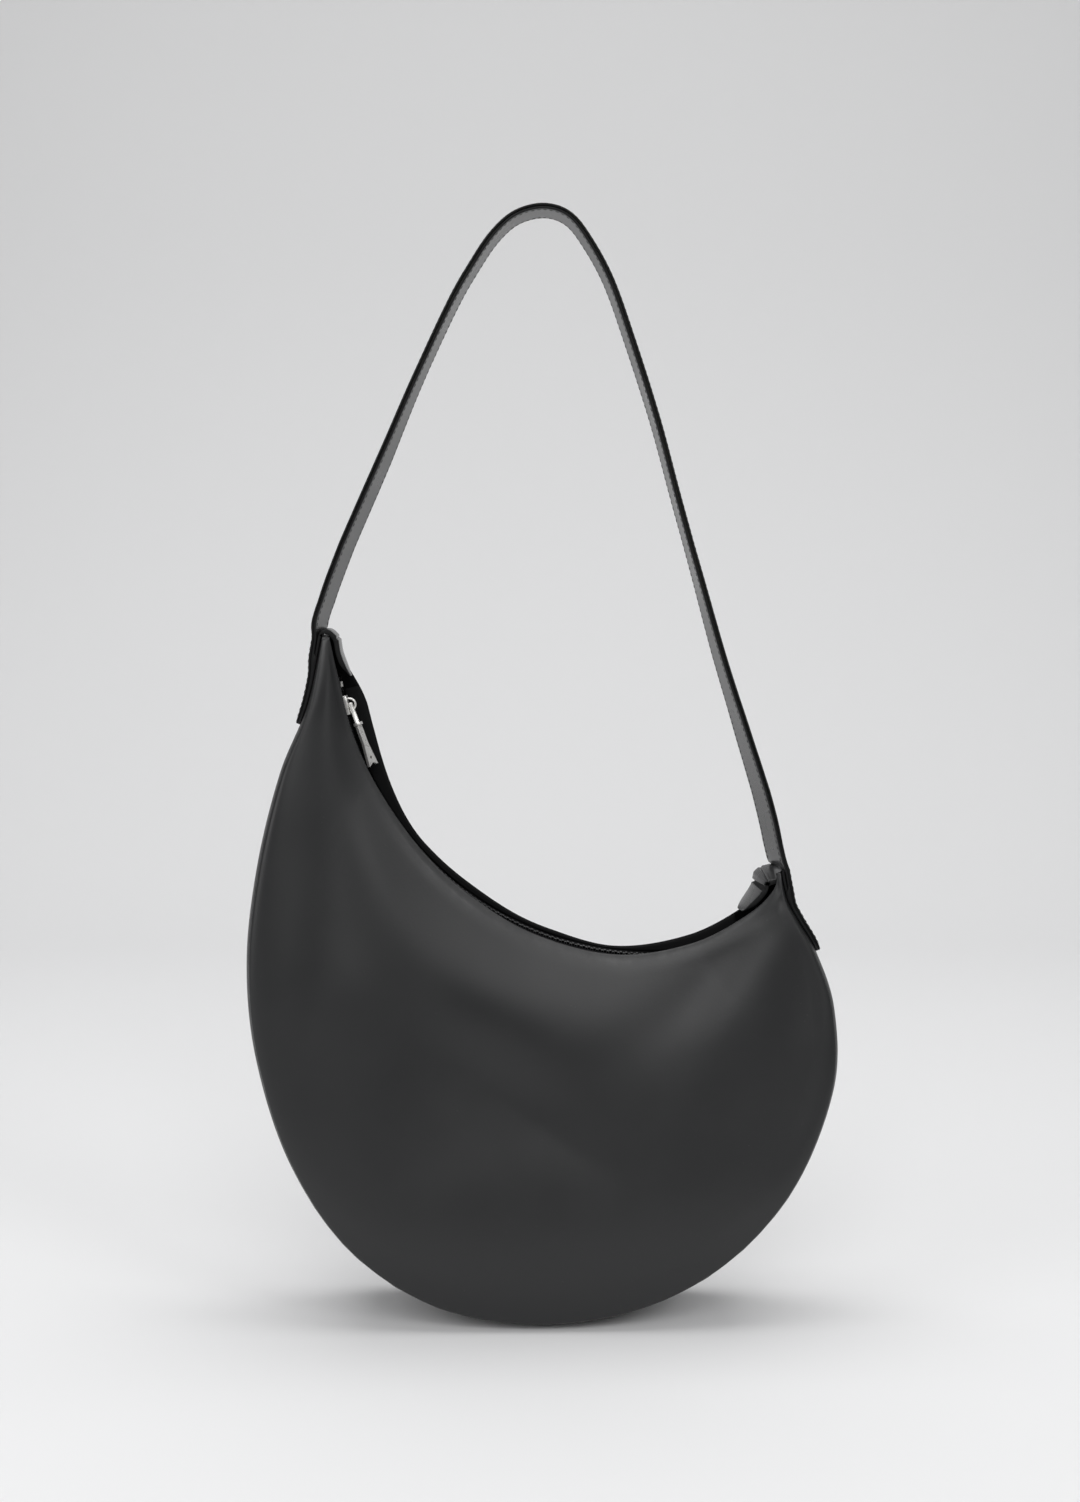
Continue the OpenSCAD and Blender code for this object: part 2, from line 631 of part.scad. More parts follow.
// Tab over a tip: a leg on the gusset, a fold over the tip and a tongue over the zip's end
tab_w = mouth_w - 2 * leather_t - 2 * gap;
module tip_tab(start, way, corner, shares) {
    leg = [for (k = [1, 0.5, 0]) let (s = start + way * k * tab_leg / edge_length)
        edge_at(s) + edge_normal(s) * (gap + tab_t / 2)];
    line = tables(smooth(concat(leg, [for (p = shares) corner + p * strap_w]), tab_steps));
    s = [for (i = [0 : 36]) i / 36];
    tip = place(line, 1);
    aim = heading(line, 0.985);
    round_centre = tip - aim * tab_w / 2;
    intersection() {
        band(beside(line, s, -tab_t / 2), beside(line, s, tab_t / 2), tab_w);
        union() {
            translate(in_3d(round_centre, 0)) rotate([0, atan2(-aim[1], aim[0]), 0]) {
                cylinder(tab_w, r = tab_w / 2, center = true, $fn = arc_steps);
                translate([-4 * tab_w, -tab_w / 2, -2 * tab_w]) cube([4 * tab_w, tab_w, 4 * tab_w]);
            }
        }
    }
}

module left_tip_tab() {
    color("#2f2f31") tip_tab(0, 1, mouth_at(0), left_tab_shares);
}

module right_tip_tab() {
    color("#2f2f31") tip_tab(1, -1, mouth_at(1), right_tab_shares);
}

front_panel();
back_panel();
gusset();
gusset_stiffener();
front_lining();
back_lining();
gusset_lining();
front_mouth_facing();
back_mouth_facing();
front_zip_tape();
back_zip_tape();
front_zip_teeth();
back_zip_teeth();
zip_top_stops();
zip_bottom_stop();
left_tip_tab();
right_tip_tab();
left_strap_end();
right_strap_end();
left_strap_root();
right_strap_root();
strap_outer_layer();
strap_core();
strap_inner_layer();
slider_body();
slider_bridge();
puller_link();
pull_bar();
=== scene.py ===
import math

import bmesh
import bpy
import numpy as np
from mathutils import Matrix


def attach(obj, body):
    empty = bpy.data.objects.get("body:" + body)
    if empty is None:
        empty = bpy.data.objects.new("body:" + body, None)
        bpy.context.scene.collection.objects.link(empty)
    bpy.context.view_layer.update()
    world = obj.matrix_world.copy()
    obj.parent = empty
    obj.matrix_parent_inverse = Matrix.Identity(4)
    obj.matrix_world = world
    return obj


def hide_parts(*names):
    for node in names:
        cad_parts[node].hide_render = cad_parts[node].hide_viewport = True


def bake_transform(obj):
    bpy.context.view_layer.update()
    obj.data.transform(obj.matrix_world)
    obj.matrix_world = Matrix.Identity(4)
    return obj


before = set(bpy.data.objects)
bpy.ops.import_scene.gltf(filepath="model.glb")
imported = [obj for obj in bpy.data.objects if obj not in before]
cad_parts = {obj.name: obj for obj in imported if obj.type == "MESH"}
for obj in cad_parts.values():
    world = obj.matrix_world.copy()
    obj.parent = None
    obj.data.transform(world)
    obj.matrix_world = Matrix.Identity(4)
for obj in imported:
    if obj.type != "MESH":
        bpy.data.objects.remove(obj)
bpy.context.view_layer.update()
scene = bpy.context.scene
scene.view_settings.view_transform = "Standard"
mm = 0.001


view = {
    "place": (-0.0017, -1.250, 0.470),
    "tilt": 83.9,           # degrees from straight down
    "lens": 51.65,
    "sensor": 36.0,
}
camera = bpy.data.cameras.new("photoCamera")
camera.lens = view["lens"]
camera.sensor_width = view["sensor"]
camera.sensor_fit = "AUTO"
camera.clip_start = 0.01
cameraHolder = bpy.data.objects.new("photoCamera", camera)
cameraHolder.location = view["place"]
cameraHolder.rotation_euler = (math.radians(view["tilt"]), 0, 0)
scene.collection.objects.link(cameraHolder)
scene.camera = cameraHolder

room = {
    "sky": 0.18,            # how bright the world is
    "skyTint": (0.98, 0.99, 1.0),
    "floorColour": (0.825, 0.825, 0.83),
    "wallShadeColour": (0.70, 0.70, 0.702),      # painted shade: the backdrop darkens to this colour at the height below, as if less light reached it higher up
    "wallShade": (0.0, 1.25),
    "frontShadeColour": (0.13, 0.13, 0.13),      # painted shade: the floor far in front darkens to this, as a studio floor falling into shade, and the leather mirrors it
    "fade": (-1.0, -0.44),  # where that painted shade fades into the pale floor
    "clouds": 0.985,        # how pale the darkest slow clouds of the floor are
    "wallStart": 1.1,       # where the backdrop begins to rise, metres behind the bag
    "wallCurve": 0.9,
    "curveSteps": 20,
    "wallHeight": 3.2,
    "halfWidth": 4.0,
    "front": -3.5,
}
softLights = [
    # name, place, aims at, width, height, power
    ("ceilingSoftbox", (0.0, 0.2, 2.4), (0.0, 0.25, 0.0), 2.6, 1.6, 38.0),
    ("frontSoftbox", (0.0, -2.4, 1.65), (0.0, 0.0, 0.3), 1.5, 1.7, 31.0),
    ("leftSoftbox", (-1.6, -1.2, 0.8), (0.0, 0.0, 0.15), 0.9, 1.3, 8.0),
    ("rightSoftbox", (1.7, -1.9, 1.8), (0.0, 0.0, 0.25), 0.9, 0.9, 14.0),
]


def addLight(name, place, aim, width, height, power):
    light = bpy.data.lights.new(name, "AREA")
    light.shape = "RECTANGLE"
    light.size = width
    light.size_y = height
    light.energy = power
    holder = bpy.data.objects.new(name, light)
    holder.location = place
    way = np.array(aim, float) - np.array(place, float)
    flat = math.hypot(way[0], way[1])
    holder.rotation_euler = (math.atan2(flat, -way[2]), 0, math.atan2(-way[0], way[1]))
    scene.collection.objects.link(holder)


for softLight in softLights:
    addLight(*softLight)
world = bpy.data.worlds.new("studio")
scene.world = world
world.use_nodes = True
worldPaint = world.node_tree.nodes["Background"]
worldPaint.inputs["Color"].default_value = (*room["skyTint"], 1)
worldPaint.inputs["Strength"].default_value = room["sky"]
print("camera and lights placed")


def addNode(tree, kind, **settings):
    node = tree.nodes.new(kind)
    for name, value in settings.items():
        if name == "inputs":
            for key, number in value.items():
                node.inputs[key].default_value = number
        else:
            setattr(node, name, value)
    return node


def objectPlace(tree):
    return addNode(tree, "ShaderNodeTexCoord").outputs["Object"]


def addPattern(tree, kind, where, **settings):
    node = addNode(tree, "ShaderNodeTex" + kind, **settings)
    tree.links.new(where, node.inputs["Vector"])
    return node


def startGroup(name, inputs, outputs):      # every socket of the groups here is a plain number
    tree = bpy.data.node_groups.new(name, "ShaderNodeTree")
    for label, value in inputs.items():
        socket = tree.interface.new_socket(label, in_out="INPUT", socket_type="NodeSocketFloat")
        socket.default_value = value
    for label in outputs:
        tree.interface.new_socket(label, in_out="OUTPUT", socket_type="NodeSocketFloat")
    return tree, tree.nodes.new("NodeGroupInput"), tree.nodes.new("NodeGroupOutput")


def mathNode(tree, operation, a, b=None, clamp=False):
    node = addNode(tree, "ShaderNodeMath", operation=operation, use_clamp=clamp)
    for slot, value in enumerate((a, b)):
        if value is None:
            continue
        if isinstance(value, (int, float)):
            node.inputs[slot].default_value = value
        else:
            tree.links.new(value, node.inputs[slot])
    return node.outputs[0]


def times(tree, a, b, clamp=False):
    return mathNode(tree, "MULTIPLY", a, b, clamp)


def mixColour(tree, share, a, b):
    node = addNode(tree, "ShaderNodeMix", data_type="RGBA")
    for socket, value in ((node.inputs[0], share), (node.inputs[6], a), (node.inputs[7], b)):
        if isinstance(value, tuple):
            socket.default_value = (*value, 1)
        else:
            tree.links.new(value, socket)
    return node.outputs[2]


def mapValue(tree, value, low, high, toLow, toHigh):
    node = addNode(tree, "ShaderNodeMapRange", inputs={1: low, 2: high, 3: toLow, 4: toHigh})
    tree.links.new(value, node.inputs[0])
    return node.outputs[0]


def makeLeatherGrain():     # fine pebbles, pores and slow creases of a smooth hide
    tree, given, result = startGroup("leatherGrain", {"Pebbles": 900.0, "Depth": 0.2, "Creases": 0.3},
                                     ("Height", "Tone", "Rough"))
    link = tree.links.new
    where = objectPlace(tree)
    pebble = addPattern(tree, "Voronoi", where, feature="SMOOTH_F1", inputs={"Smoothness": 0.55})
    link(given.outputs["Pebbles"], pebble.inputs["Scale"])
    pore = addPattern(tree, "Noise", where, inputs={"Scale": 2600.0, "Detail": 2.0})
    crease = addPattern(tree, "Noise", where, inputs={"Scale": 70.0, "Detail": 4.0, "Roughness": 0.6,
                                                      "Distortion": 0.8})
    slow = addPattern(tree, "Noise", where, inputs={"Scale": 14.0, "Detail": 3.0})
    fromMiddle = mathNode(tree, "ABSOLUTE", mathNode(tree, "SUBTRACT", crease.outputs[0], 0.5))
    line = mapValue(tree, fromMiddle, 0.0, 0.03, 1.0, 0.0)
    fine = times(tree, pore.outputs[0], 0.35)
    height = times(tree, mathNode(tree, "ADD", pebble.outputs["Distance"], fine), given.outputs["Depth"])
    sunk = times(tree, times(tree, line, given.outputs["Creases"]), 0.25)
    link(mathNode(tree, "SUBTRACT", height, sunk), result.inputs["Height"])
    tone = mathNode(tree, "ADD", times(tree, slow.outputs[0], 0.7), times(tree, pore.outputs[0], 0.3))
    link(tone, result.inputs["Tone"])
    link(mapValue(tree, slow.outputs[0], 0.3, 0.7, 0.0, 1.0), result.inputs["Rough"])
    return tree


def makeEdgeWear():         # rubbed rims: the attribute rim is 1 on an edge
    tree, given, result = startGroup("edgeWear", {"Amount": 0.5}, ("Mask",))
    rim = addNode(tree, "ShaderNodeAttribute", attribute_name="rim")
    patch = addPattern(tree, "Noise", objectPlace(tree),
                       inputs={"Scale": 160.0, "Detail": 5.0, "Roughness": 0.65})
    broken = mapValue(tree, patch.outputs[0], 0.42, 0.66, 0.0, 1.0)
    mask = times(tree, times(tree, rim.outputs["Fac"], broken), given.outputs["Amount"], clamp=True)
    tree.links.new(mask, result.inputs["Mask"])
    return tree


def makeLint():             # a few specks of lint and dust
    tree, given, result = startGroup("lint", {"Amount": 0.3}, ("Mask",))
    where = objectPlace(tree)
    speck = addPattern(tree, "Voronoi", where, inputs={"Scale": 210.0})
    drift = addPattern(tree, "Noise", where, inputs={"Scale": 30.0, "Detail": 3.0})
    dots = mapValue(tree, speck.outputs["Distance"], 0.03, 0.07, 1.0, 0.0)
    few = times(tree, dots, mapValue(tree, drift.outputs[0], 0.5, 0.7, 0.0, 1.0))
    mask = times(tree, few, given.outputs["Amount"], clamp=True)
    tree.links.new(mask, result.inputs["Mask"])
    return tree


def makeWeave():            # plain weave in the piece's own length and width, in metres
    tree, given, result = startGroup("weave", {"Threads": 1800.0, "Depth": 0.3}, ("Height", "Tone"))
    link = tree.links.new
    lay = addNode(tree, "ShaderNodeUVMap", uv_map="lay")
    split = addNode(tree, "ShaderNodeSeparateXYZ")
    link(lay.outputs[0], split.inputs[0])
    waves = []
    for axis in (0, 1):
        turn = times(tree, split.outputs[axis], given.outputs["Threads"])
        waves.append(mathNode(tree, "SINE", times(tree, turn, math.pi)))
    over = times(tree, waves[0], waves[1])
    sides = times(tree, mathNode(tree, "ABSOLUTE", waves[0]), mathNode(tree, "ABSOLUTE", waves[1]))
    both = mathNode(tree, "ADD", times(tree, over, 0.5), sides)
    link(times(tree, both, given.outputs["Depth"]), result.inputs["Height"])
    slub = addPattern(tree, "Noise", objectPlace(tree), inputs={"Scale": 240.0, "Detail": 3.0})
    tone = mathNode(tree, "ADD", times(tree, sides, 0.5), times(tree, slub.outputs[0], 0.5))
    link(tone, result.inputs["Tone"])
    return tree


def makePolish():           # slow clouds and fine scratches of polished metal
    tree, given, result = startGroup("metalPolish", {"Clouds": 420.0}, ("Tone", "Scratch"))
    link = tree.links.new
    where = objectPlace(tree)
    cloud = addPattern(tree, "Noise", where, inputs={"Detail": 4.0})
    link(given.outputs["Clouds"], cloud.inputs["Scale"])
    stretch = addNode(tree, "ShaderNodeMapping", inputs={"Scale": (900.0, 6000.0, 900.0)})
    link(where, stretch.inputs["Vector"])
    scratch = addPattern(tree, "Noise", stretch.outputs[0], inputs={"Scale": 1.0, "Detail": 2.0})
    link(cloud.outputs[0], result.inputs["Tone"])
    link(scratch.outputs[0], result.inputs["Scratch"])
    return tree


lintOnLeather, lintOnCloth = (0.16, 0.155, 0.15), (0.2, 0.195, 0.19)
leatherGrain = makeLeatherGrain()
edgeWear = makeEdgeWear()
lint = makeLint()
weave = makeWeave()
metalPolish = makePolish()


def startMaterial(name, roughness, metallic=0.0, specular=0.5):
    material = bpy.data.materials.new(name)
    material.use_nodes = True
    tree = material.node_tree
    shader = tree.nodes["Principled BSDF"]
    shader.inputs["Roughness"].default_value = roughness
    shader.inputs["Metallic"].default_value = metallic
    shader.inputs["Specular IOR Level"].default_value = specular
    return material, tree, shader


def useGroup(tree, group, **values):
    node = addNode(tree, "ShaderNodeGroup", node_tree=group)
    for name, value in values.items():
        node.inputs[name].default_value = value
    return node


def bumpFrom(tree, height, distance, strength):     # the distance is in metres
    bump = addNode(tree, "ShaderNodeBump", inputs={"Strength": strength, "Distance": distance})
    tree.links.new(height, bump.inputs["Height"])
    return bump.outputs[0]


def makeLeather(name, dark, light, worn, roughness, pebbles, depth, creases, wear, dust, specular=0.5):
    material, tree, shader = startMaterial(name, roughness, specular=specular)
    link = tree.links.new
    grain = useGroup(tree, leatherGrain, Pebbles=pebbles, Depth=depth, Creases=creases)
    rubbed = useGroup(tree, edgeWear, Amount=wear)
    specks = useGroup(tree, lint, Amount=dust)
    hide = mixColour(tree, grain.outputs["Tone"], dark, light)
    rubbedHide = mixColour(tree, rubbed.outputs["Mask"], hide, worn)
    dusty = mixColour(tree, specks.outputs["Mask"], rubbedHide, lintOnLeather)
    link(dusty, shader.inputs["Base Color"])
    rough = mapValue(tree, grain.outputs["Rough"], 0.0, 1.0, roughness - 0.03, roughness + 0.05)
    link(mathNode(tree, "SUBTRACT", rough, times(tree, rubbed.outputs["Mask"], 0.12)),
         shader.inputs["Roughness"])
    link(bumpFrom(tree, grain.outputs["Height"], distance=0.00012, strength=0.5), shader.inputs["Normal"])
    return material


def makeCloth(name, dark, light, roughness, threads, depth, dust=0.35, specular=0.25):
    material, tree, shader = startMaterial(name, roughness, specular=specular)
    link = tree.links.new
    cloth = useGroup(tree, weave, Threads=threads, Depth=depth)
    specks = useGroup(tree, lint, Amount=dust)
    yarn = mixColour(tree, cloth.outputs["Tone"], dark, light)
    link(mixColour(tree, specks.outputs["Mask"], yarn, lintOnCloth), shader.inputs["Base Color"])
    link(bumpFrom(tree, cloth.outputs["Height"], distance=0.0002, strength=0.6), shader.inputs["Normal"])
    return material


def makeMetal(name, dark, light, roughness, metallic=1.0):
    material, tree, shader = startMaterial(name, roughness, metallic=metallic)
    link = tree.links.new
    polish = useGroup(tree, metalPolish, Clouds=420.0)
    link(mixColour(tree, polish.outputs["Tone"], dark, light), shader.inputs["Base Color"])
    link(mapValue(tree, polish.outputs["Tone"], 0.3, 0.7, roughness - 0.05, roughness + 0.08),
         shader.inputs["Roughness"])
    link(bumpFrom(tree, polish.outputs["Scratch"], distance=0.00002, strength=0.15),
         shader.inputs["Normal"])
    return material


def makeBoard(name, dark, light):
    material, tree, shader = startMaterial(name, 0.85, specular=0.2)
    fibre = addPattern(tree, "Noise", objectPlace(tree),
                       inputs={"Scale": 900.0, "Detail": 6.0, "Roughness": 0.7})
    tree.links.new(mixColour(tree, fibre.outputs[0], dark, light), shader.inputs["Base Color"])
    tree.links.new(bumpFrom(tree, fibre.outputs[0], distance=0.0001, strength=0.5),
                   shader.inputs["Normal"])
    return material


bagLeather = makeLeather(
    "smoothBlackLeather", (0.007, 0.0073, 0.008), (0.0115, 0.0118, 0.0125), (0.03, 0.03, 0.031),
    roughness=0.37, pebbles=900, depth=0.22, creases=0.25, wear=0.35, dust=0.25)
gussetLeather = makeLeather(
    "gussetBlackLeather", (0.006, 0.0062, 0.0068), (0.010, 0.0102, 0.0108), (0.022, 0.022, 0.023),
    roughness=0.46, pebbles=900, depth=0.24, creases=0.3, wear=0.4, dust=0.25)
strapLeather = makeLeather(
    "strapOuterLeather", (0.0075, 0.0077, 0.0085), (0.012, 0.0122, 0.013), (0.03, 0.03, 0.031),
    roughness=0.40, pebbles=950, depth=0.22, creases=0.3, wear=0.3, dust=0.25)
# a lighter copy of the strap leather, also used on the tabs: its lighter colour is partly a painted sheen
# for the grazing reflection, the rest comes from its low roughness
strapInnerLeather = makeLeather(
    "strapInnerLeather", (0.026, 0.0262, 0.0268), (0.040, 0.0402, 0.041), (0.06, 0.06, 0.06),
    roughness=0.27, pebbles=950, depth=0.18, creases=0.3, wear=0.3, dust=0.3)
# real black edge paint, which is also laid on sewn rows and creases as painted shade
edgePaintAndShade = makeLeather(
    "blackEdgePaintAndShade", (0.003, 0.0031, 0.0034), (0.005, 0.0051, 0.0055), (0.015, 0.015, 0.015),
    roughness=0.62, pebbles=700, depth=0.2, creases=0.1, wear=0.2, dust=0.1, specular=0.2)
# painted shade: a darker, duller copy of the black leather, for the facings and the panels' inner sides, so
# the inside of the mouth reads as shaded
facingLeatherPaintedShade = makeLeather(
    "facingLeatherPaintedShade", (0.0022, 0.0023, 0.0026), (0.0042, 0.0043, 0.0046), (0.012, 0.012, 0.012),
    roughness=0.8, pebbles=900, depth=0.25, creases=0.3, wear=0.2, dust=0.15, specular=0.15)
liningCloth = makeCloth("liningCloth", (0.022, 0.022, 0.021), (0.05, 0.05, 0.048),
                        roughness=0.82, threads=1500, depth=0.35)
tapeCloth = makeCloth("zipTapeCloth", (0.0012, 0.0012, 0.0014), (0.0032, 0.0032, 0.0036),
                      roughness=0.9, threads=2200, depth=0.5, dust=0.1, specular=0.08)
strapTapeCloth = makeCloth("strapTapeCloth", (0.10, 0.092, 0.078), (0.2, 0.188, 0.16),
                           roughness=0.85, threads=1300, depth=0.5)
threadCloth = makeCloth("blackThread", (0.012, 0.012, 0.013), (0.03, 0.03, 0.031),
                        roughness=0.55, threads=3000, depth=0.3)
board = makeBoard("fibreBoard", (0.16, 0.125, 0.085), (0.27, 0.22, 0.155))
silverMetal = makeMetal("silverMetal", (0.80, 0.79, 0.765), (0.94, 0.93, 0.905), roughness=0.3, metallic=0.7)
darkTeeth = makeMetal("darkZipTeeth", (0.008, 0.008, 0.0086), (0.02, 0.02, 0.021), roughness=0.42)
print("materials made")


def startMesh(name, points, faces, *materials):
    mesh = bpy.data.meshes.new(name)
    mesh.from_pydata(points, [], faces)
    mesh.polygons.foreach_set("use_smooth", [True] * len(faces))
    for material in materials:
        mesh.materials.append(material)
    return mesh


def placeMesh(name, mesh):
    piece = bpy.data.objects.new(name, mesh)
    scene.collection.objects.link(piece)
    return piece


def makePaper():
    material, tree, shader = startMaterial("paleBackdrop", 0.75, specular=0.15)
    where = objectPlace(tree)
    cloud = addPattern(tree, "Noise", where, inputs={"Scale": 1.3, "Detail": 2.0})
    base = room["floorColour"]
    dim = tuple(part * room["clouds"] for part in base)
    pale = mixColour(tree, cloud.outputs[0], dim, base)
    split = addNode(tree, "ShaderNodeSeparateXYZ")
    tree.links.new(where, split.inputs[0])
    # painted shade: the backdrop is coloured darker with height
    high = mapValue(tree, split.outputs["Z"], *room["wallShade"], 0.0, 1.0)
    shaded = mixColour(tree, high, pale, room["wallShadeColour"])
    # painted shade: the floor is coloured dark far in front
    near = mapValue(tree, split.outputs["Y"], *room["fade"], 0.0, 1.0)
    tree.links.new(mixColour(tree, near, room["frontShadeColour"], shaded), shader.inputs["Base Color"])
    return material


def makeBackdrop():
    profile = [(room["front"], 0.0), (0.0, 0.0), (room["wallStart"], 0.0)]
    for turn in np.linspace(0, math.pi / 2, room["curveSteps"])[1:]:
        profile.append((room["wallStart"] + room["wallCurve"] * math.sin(turn),
                        room["wallCurve"] * (1 - math.cos(turn))))
    profile.append((profile[-1][0], room["wallHeight"]))
    points = [(side * room["halfWidth"], y, z) for y, z in profile for side in (-1, 1)]
    faces = [(2 * i, 2 * i + 1, 2 * i + 3, 2 * i + 2) for i in range(len(profile) - 1)]
    backdrop = placeMesh("backdrop", startMesh("backdrop", points, faces, makePaper()))


makeBackdrop()


bag = {
    "width": 346.0, "height": 404.0,
    "mouthHalf": 14.0,      # half the width of the tips and of the mouth
    "gussetHalf": 38.0,     # half the depth of the gusset at its fullest
    "fillPower": 0.8,       # a lower one fills out sooner from the tips
    "crown": 4.6, "swell": 5.0,
    # how far each mouth edge lies over its plain curve: near the high tip, and in the middle
    "frontRise": (0.0, 0.0), "backRise": (10.5, 1.5),
    "risePeak": 0.12, "riseEnd": 0.36,      # shares of the mouth's length, as are the next two
    "evenSpan": (0.28, 0.70), "evenEase": (0.2, 0.1),
    "leather": 1.6, "stiffener": 0.8, "lining": 0.6, "facing": 1.2,
    "facingDepth": 11.0, "facingDrop": 0.5, "facingRound": 0.35,
    "gap": 0.3,
    "innerSpan": (0.0455, 0.9545), "facingSpan": (0.085, 0.9),
    "lineSteps": 24,        # between two places of an outline
    "rings": 45,            # of the CAD's gusset, which its width is measured over
}
leather, gap = bag["leather"], bag["gap"]
outerEdge = [(-0.739, 1), (-0.789, 0.9), (-0.882, 0.803), (-0.96, 0.672), (-0.999, 0.532),
             (-0.971, 0.391), (-0.861, 0.239), (-0.665, 0.112), (-0.376, 0.028), (-0.029, 0),
             (0.324, 0.021), (0.624, 0.088), (0.855, 0.199), (0.986, 0.344), (0.986, 0.46),
             (0.922, 0.544), (0.861, 0.59), (0.823, 0.621), (0.801, 0.661)]
mouthEdge = [(-0.708, 0.999), (-0.679, 0.939), (-0.633, 0.86), (-0.549, 0.781), (-0.41, 0.695),
             (-0.249, 0.629), (-0.029, 0.571), (0.243, 0.541), (0.497, 0.557), (0.682, 0.598),
             (0.77, 0.634), (0.784, 0.66)]


def smoothLine(points, steps):      # curve that passes through every point
    p = np.array(points, float)
    q = np.vstack([2 * p[0] - p[1], p, 2 * p[-1] - p[-2]])
    line = []
    for i in range(1, len(p)):
        a, b, c, d = q[i - 1], q[i], q[i + 1], q[i + 2]
        for k in range(steps):
            t = k / steps
            line.append((2 * b + (c - a) * t + (2 * a - 5 * b + 4 * c - d) * t * t
                         + (3 * b - a - 3 * c + d) * t ** 3) / 2)
    line.append(p[-1])
    return np.array(line)


class curveLine:                    # a curve by the share of its length
    aside = 0.004                   # how far to each side its heading is taken

    def __init__(self, points):
        self.points = np.array(points, float)
        steps = np.linalg.norm(np.diff(self.points, axis=0), axis=1)
        reached = np.concatenate([[0], np.cumsum(steps)])
        self.length = reached[-1]
        self.shares = reached / self.length

    def at(self, s):
        s = np.asarray(s, float)
        return np.stack([np.interp(s, self.shares, self.points[:, i]) for i in (0, 1)], -1)

    def heading(self, s):
        s = np.asarray(s, float)
        way = self.at(np.minimum(1, s + self.aside)) - self.at(np.maximum(0, s - self.aside))
        return way / np.linalg.norm(way, axis=-1, keepdims=True)

    def right(self, s):
        way = self.heading(s)
        return np.stack([way[..., 1], -way[..., 0]], -1)


def onBag(shares):
    return [(x * bag["width"] / 2, z * bag["height"]) for x, z in shares]


rawEdge = curveLine(smoothLine(onBag(outerEdge), bag["lineSteps"]))
rings = rawEdge.at(np.linspace(0, 1, bag["rings"]))
leftmost, rightmost, lowest = rings[:, 0].min(), rings[:, 0].max(), rings[:, 1].min()


def fitted(points):
    p = np.array(points, float)
    wide = (p[:, 0] - (leftmost + rightmost) / 2) * bag["width"] / (rightmost - leftmost)
    return np.stack([wide, p[:, 1] - lowest], -1)


edge = curveLine(fitted(rawEdge.points))
mouth = curveLine(smoothLine(fitted(onBag(mouthEdge)), bag["lineSteps"]))


def ramp(x):
    k = np.clip(x, 0, 1)
    return k * k * (3 - 2 * k)


def mix(a, b, share):
    return a * (1 - share) + b * share


def fillAt(s):
    return np.maximum(0, np.sin(np.pi * np.asarray(s, float))) ** bag["fillPower"]


def halfAt(s):
    return bag["mouthHalf"] + (bag["gussetHalf"] - bag["mouthHalf"]) * fillAt(s)


def crownAt(s):
    return bag["crown"] * halfAt(s) / bag["gussetHalf"]


def crownDrop(s, y):    # how far the gusset has fallen away at this distance from its middle
    return crownAt(s) * (np.abs(y) / halfAt(s)) ** 3


def riseAt(s, rise):
    fall = (s - bag["risePeak"]) / (bag["riseEnd"] - bag["risePeak"])
    start, end = bag["evenSpan"]
    easeIn, easeOut = bag["evenEase"]
    even = ramp((s - start) / easeIn) * ramp((end - s) / easeOut)
    return rise[0] * ramp(s / bag["risePeak"]) * (1 - ramp(fall)) + rise[1] * even


def panelLine(s, v, rise):
    top = mouth.at(s) - mouth.right(s) * riseAt(s, rise)[..., None]
    seam = edge.at(s) - edge.right(s) * crownAt(s)[..., None]
    return mix(top, seam, v[..., None])


def panelDepth(s, v):
    g = 1 - (1 - v) ** 2
    bulge = bag["swell"] * fillAt(s) * v * np.sqrt(np.maximum(0, 1 - v ** 8))
    return mix(bag["mouthHalf"], halfAt(s), g) + bulge


def in3d(p, y):
    return np.stack([p[..., 0], np.broadcast_to(y, p.shape[:-1]), p[..., 1]], -1)


def shellPiece(name, outer, inner, materials, rim=None, faceMaterial=None):
    # rows run along the piece; a ring is an outer row and the inner row on its way back
    rows, cols = outer.shape[:2]
    ring = np.concatenate([outer, inner[:, ::-1]], axis=1)
    count = 2 * cols
    faces, marks = [], []
    for r in range(rows - 1):
        for c in range(count):
            n = (c + 1) % count
            faces.append((r * count + c, (r + 1) * count + c, (r + 1) * count + n, r * count + n))
            marks.append((r, c))
    for c in range(cols - 1):
        back = count - 1 - c
        faces.append((c, c + 1, back - 1, back))
        last = (rows - 1) * count
        faces.append((last + c + 1, last + c, last + back, last + back - 1))
        marks += [(0, c), (rows - 2, c)]
    mesh = startMesh(name, (ring.reshape(-1, 3) * mm).tolist(), faces, *materials)
    if faceMaterial is not None:
        chosen = np.broadcast_to(faceMaterial, (rows - 1, count))
        mesh.polygons.foreach_set("material_index", [int(chosen[m]) for m in marks])
    layFlat(mesh, ringLay(ring))
    if rim is not None:
        both = np.concatenate([rim, rim[:, ::-1]], axis=1).reshape(-1)
        mesh.attributes.new("rim", "FLOAT", "POINT").data.foreach_set("value", both.astype(np.float32))
    mesh.validate()
    turnOutward(mesh)
    return placeMesh(name, mesh)


def ringLay(ring):          # each point's distance along and across the piece, in mm
    along, across = np.zeros(ring.shape[:2]), np.zeros(ring.shape[:2])
    along[1:] = np.cumsum(np.linalg.norm(np.diff(ring, axis=0), axis=2), axis=0)
    across[:, 1:] = np.cumsum(np.linalg.norm(np.diff(ring, axis=1), axis=2), axis=1)
    return np.stack([along.reshape(-1), across.reshape(-1)], -1)


def layFlat(mesh, flat):    # the weave's coordinates, in metres
    corners = np.zeros(len(mesh.loops), int)
    mesh.loops.foreach_get("vertex_index", corners)
    mesh.uv_layers.new(name="lay").data.foreach_set("uv", (flat * mm)[corners].reshape(-1))


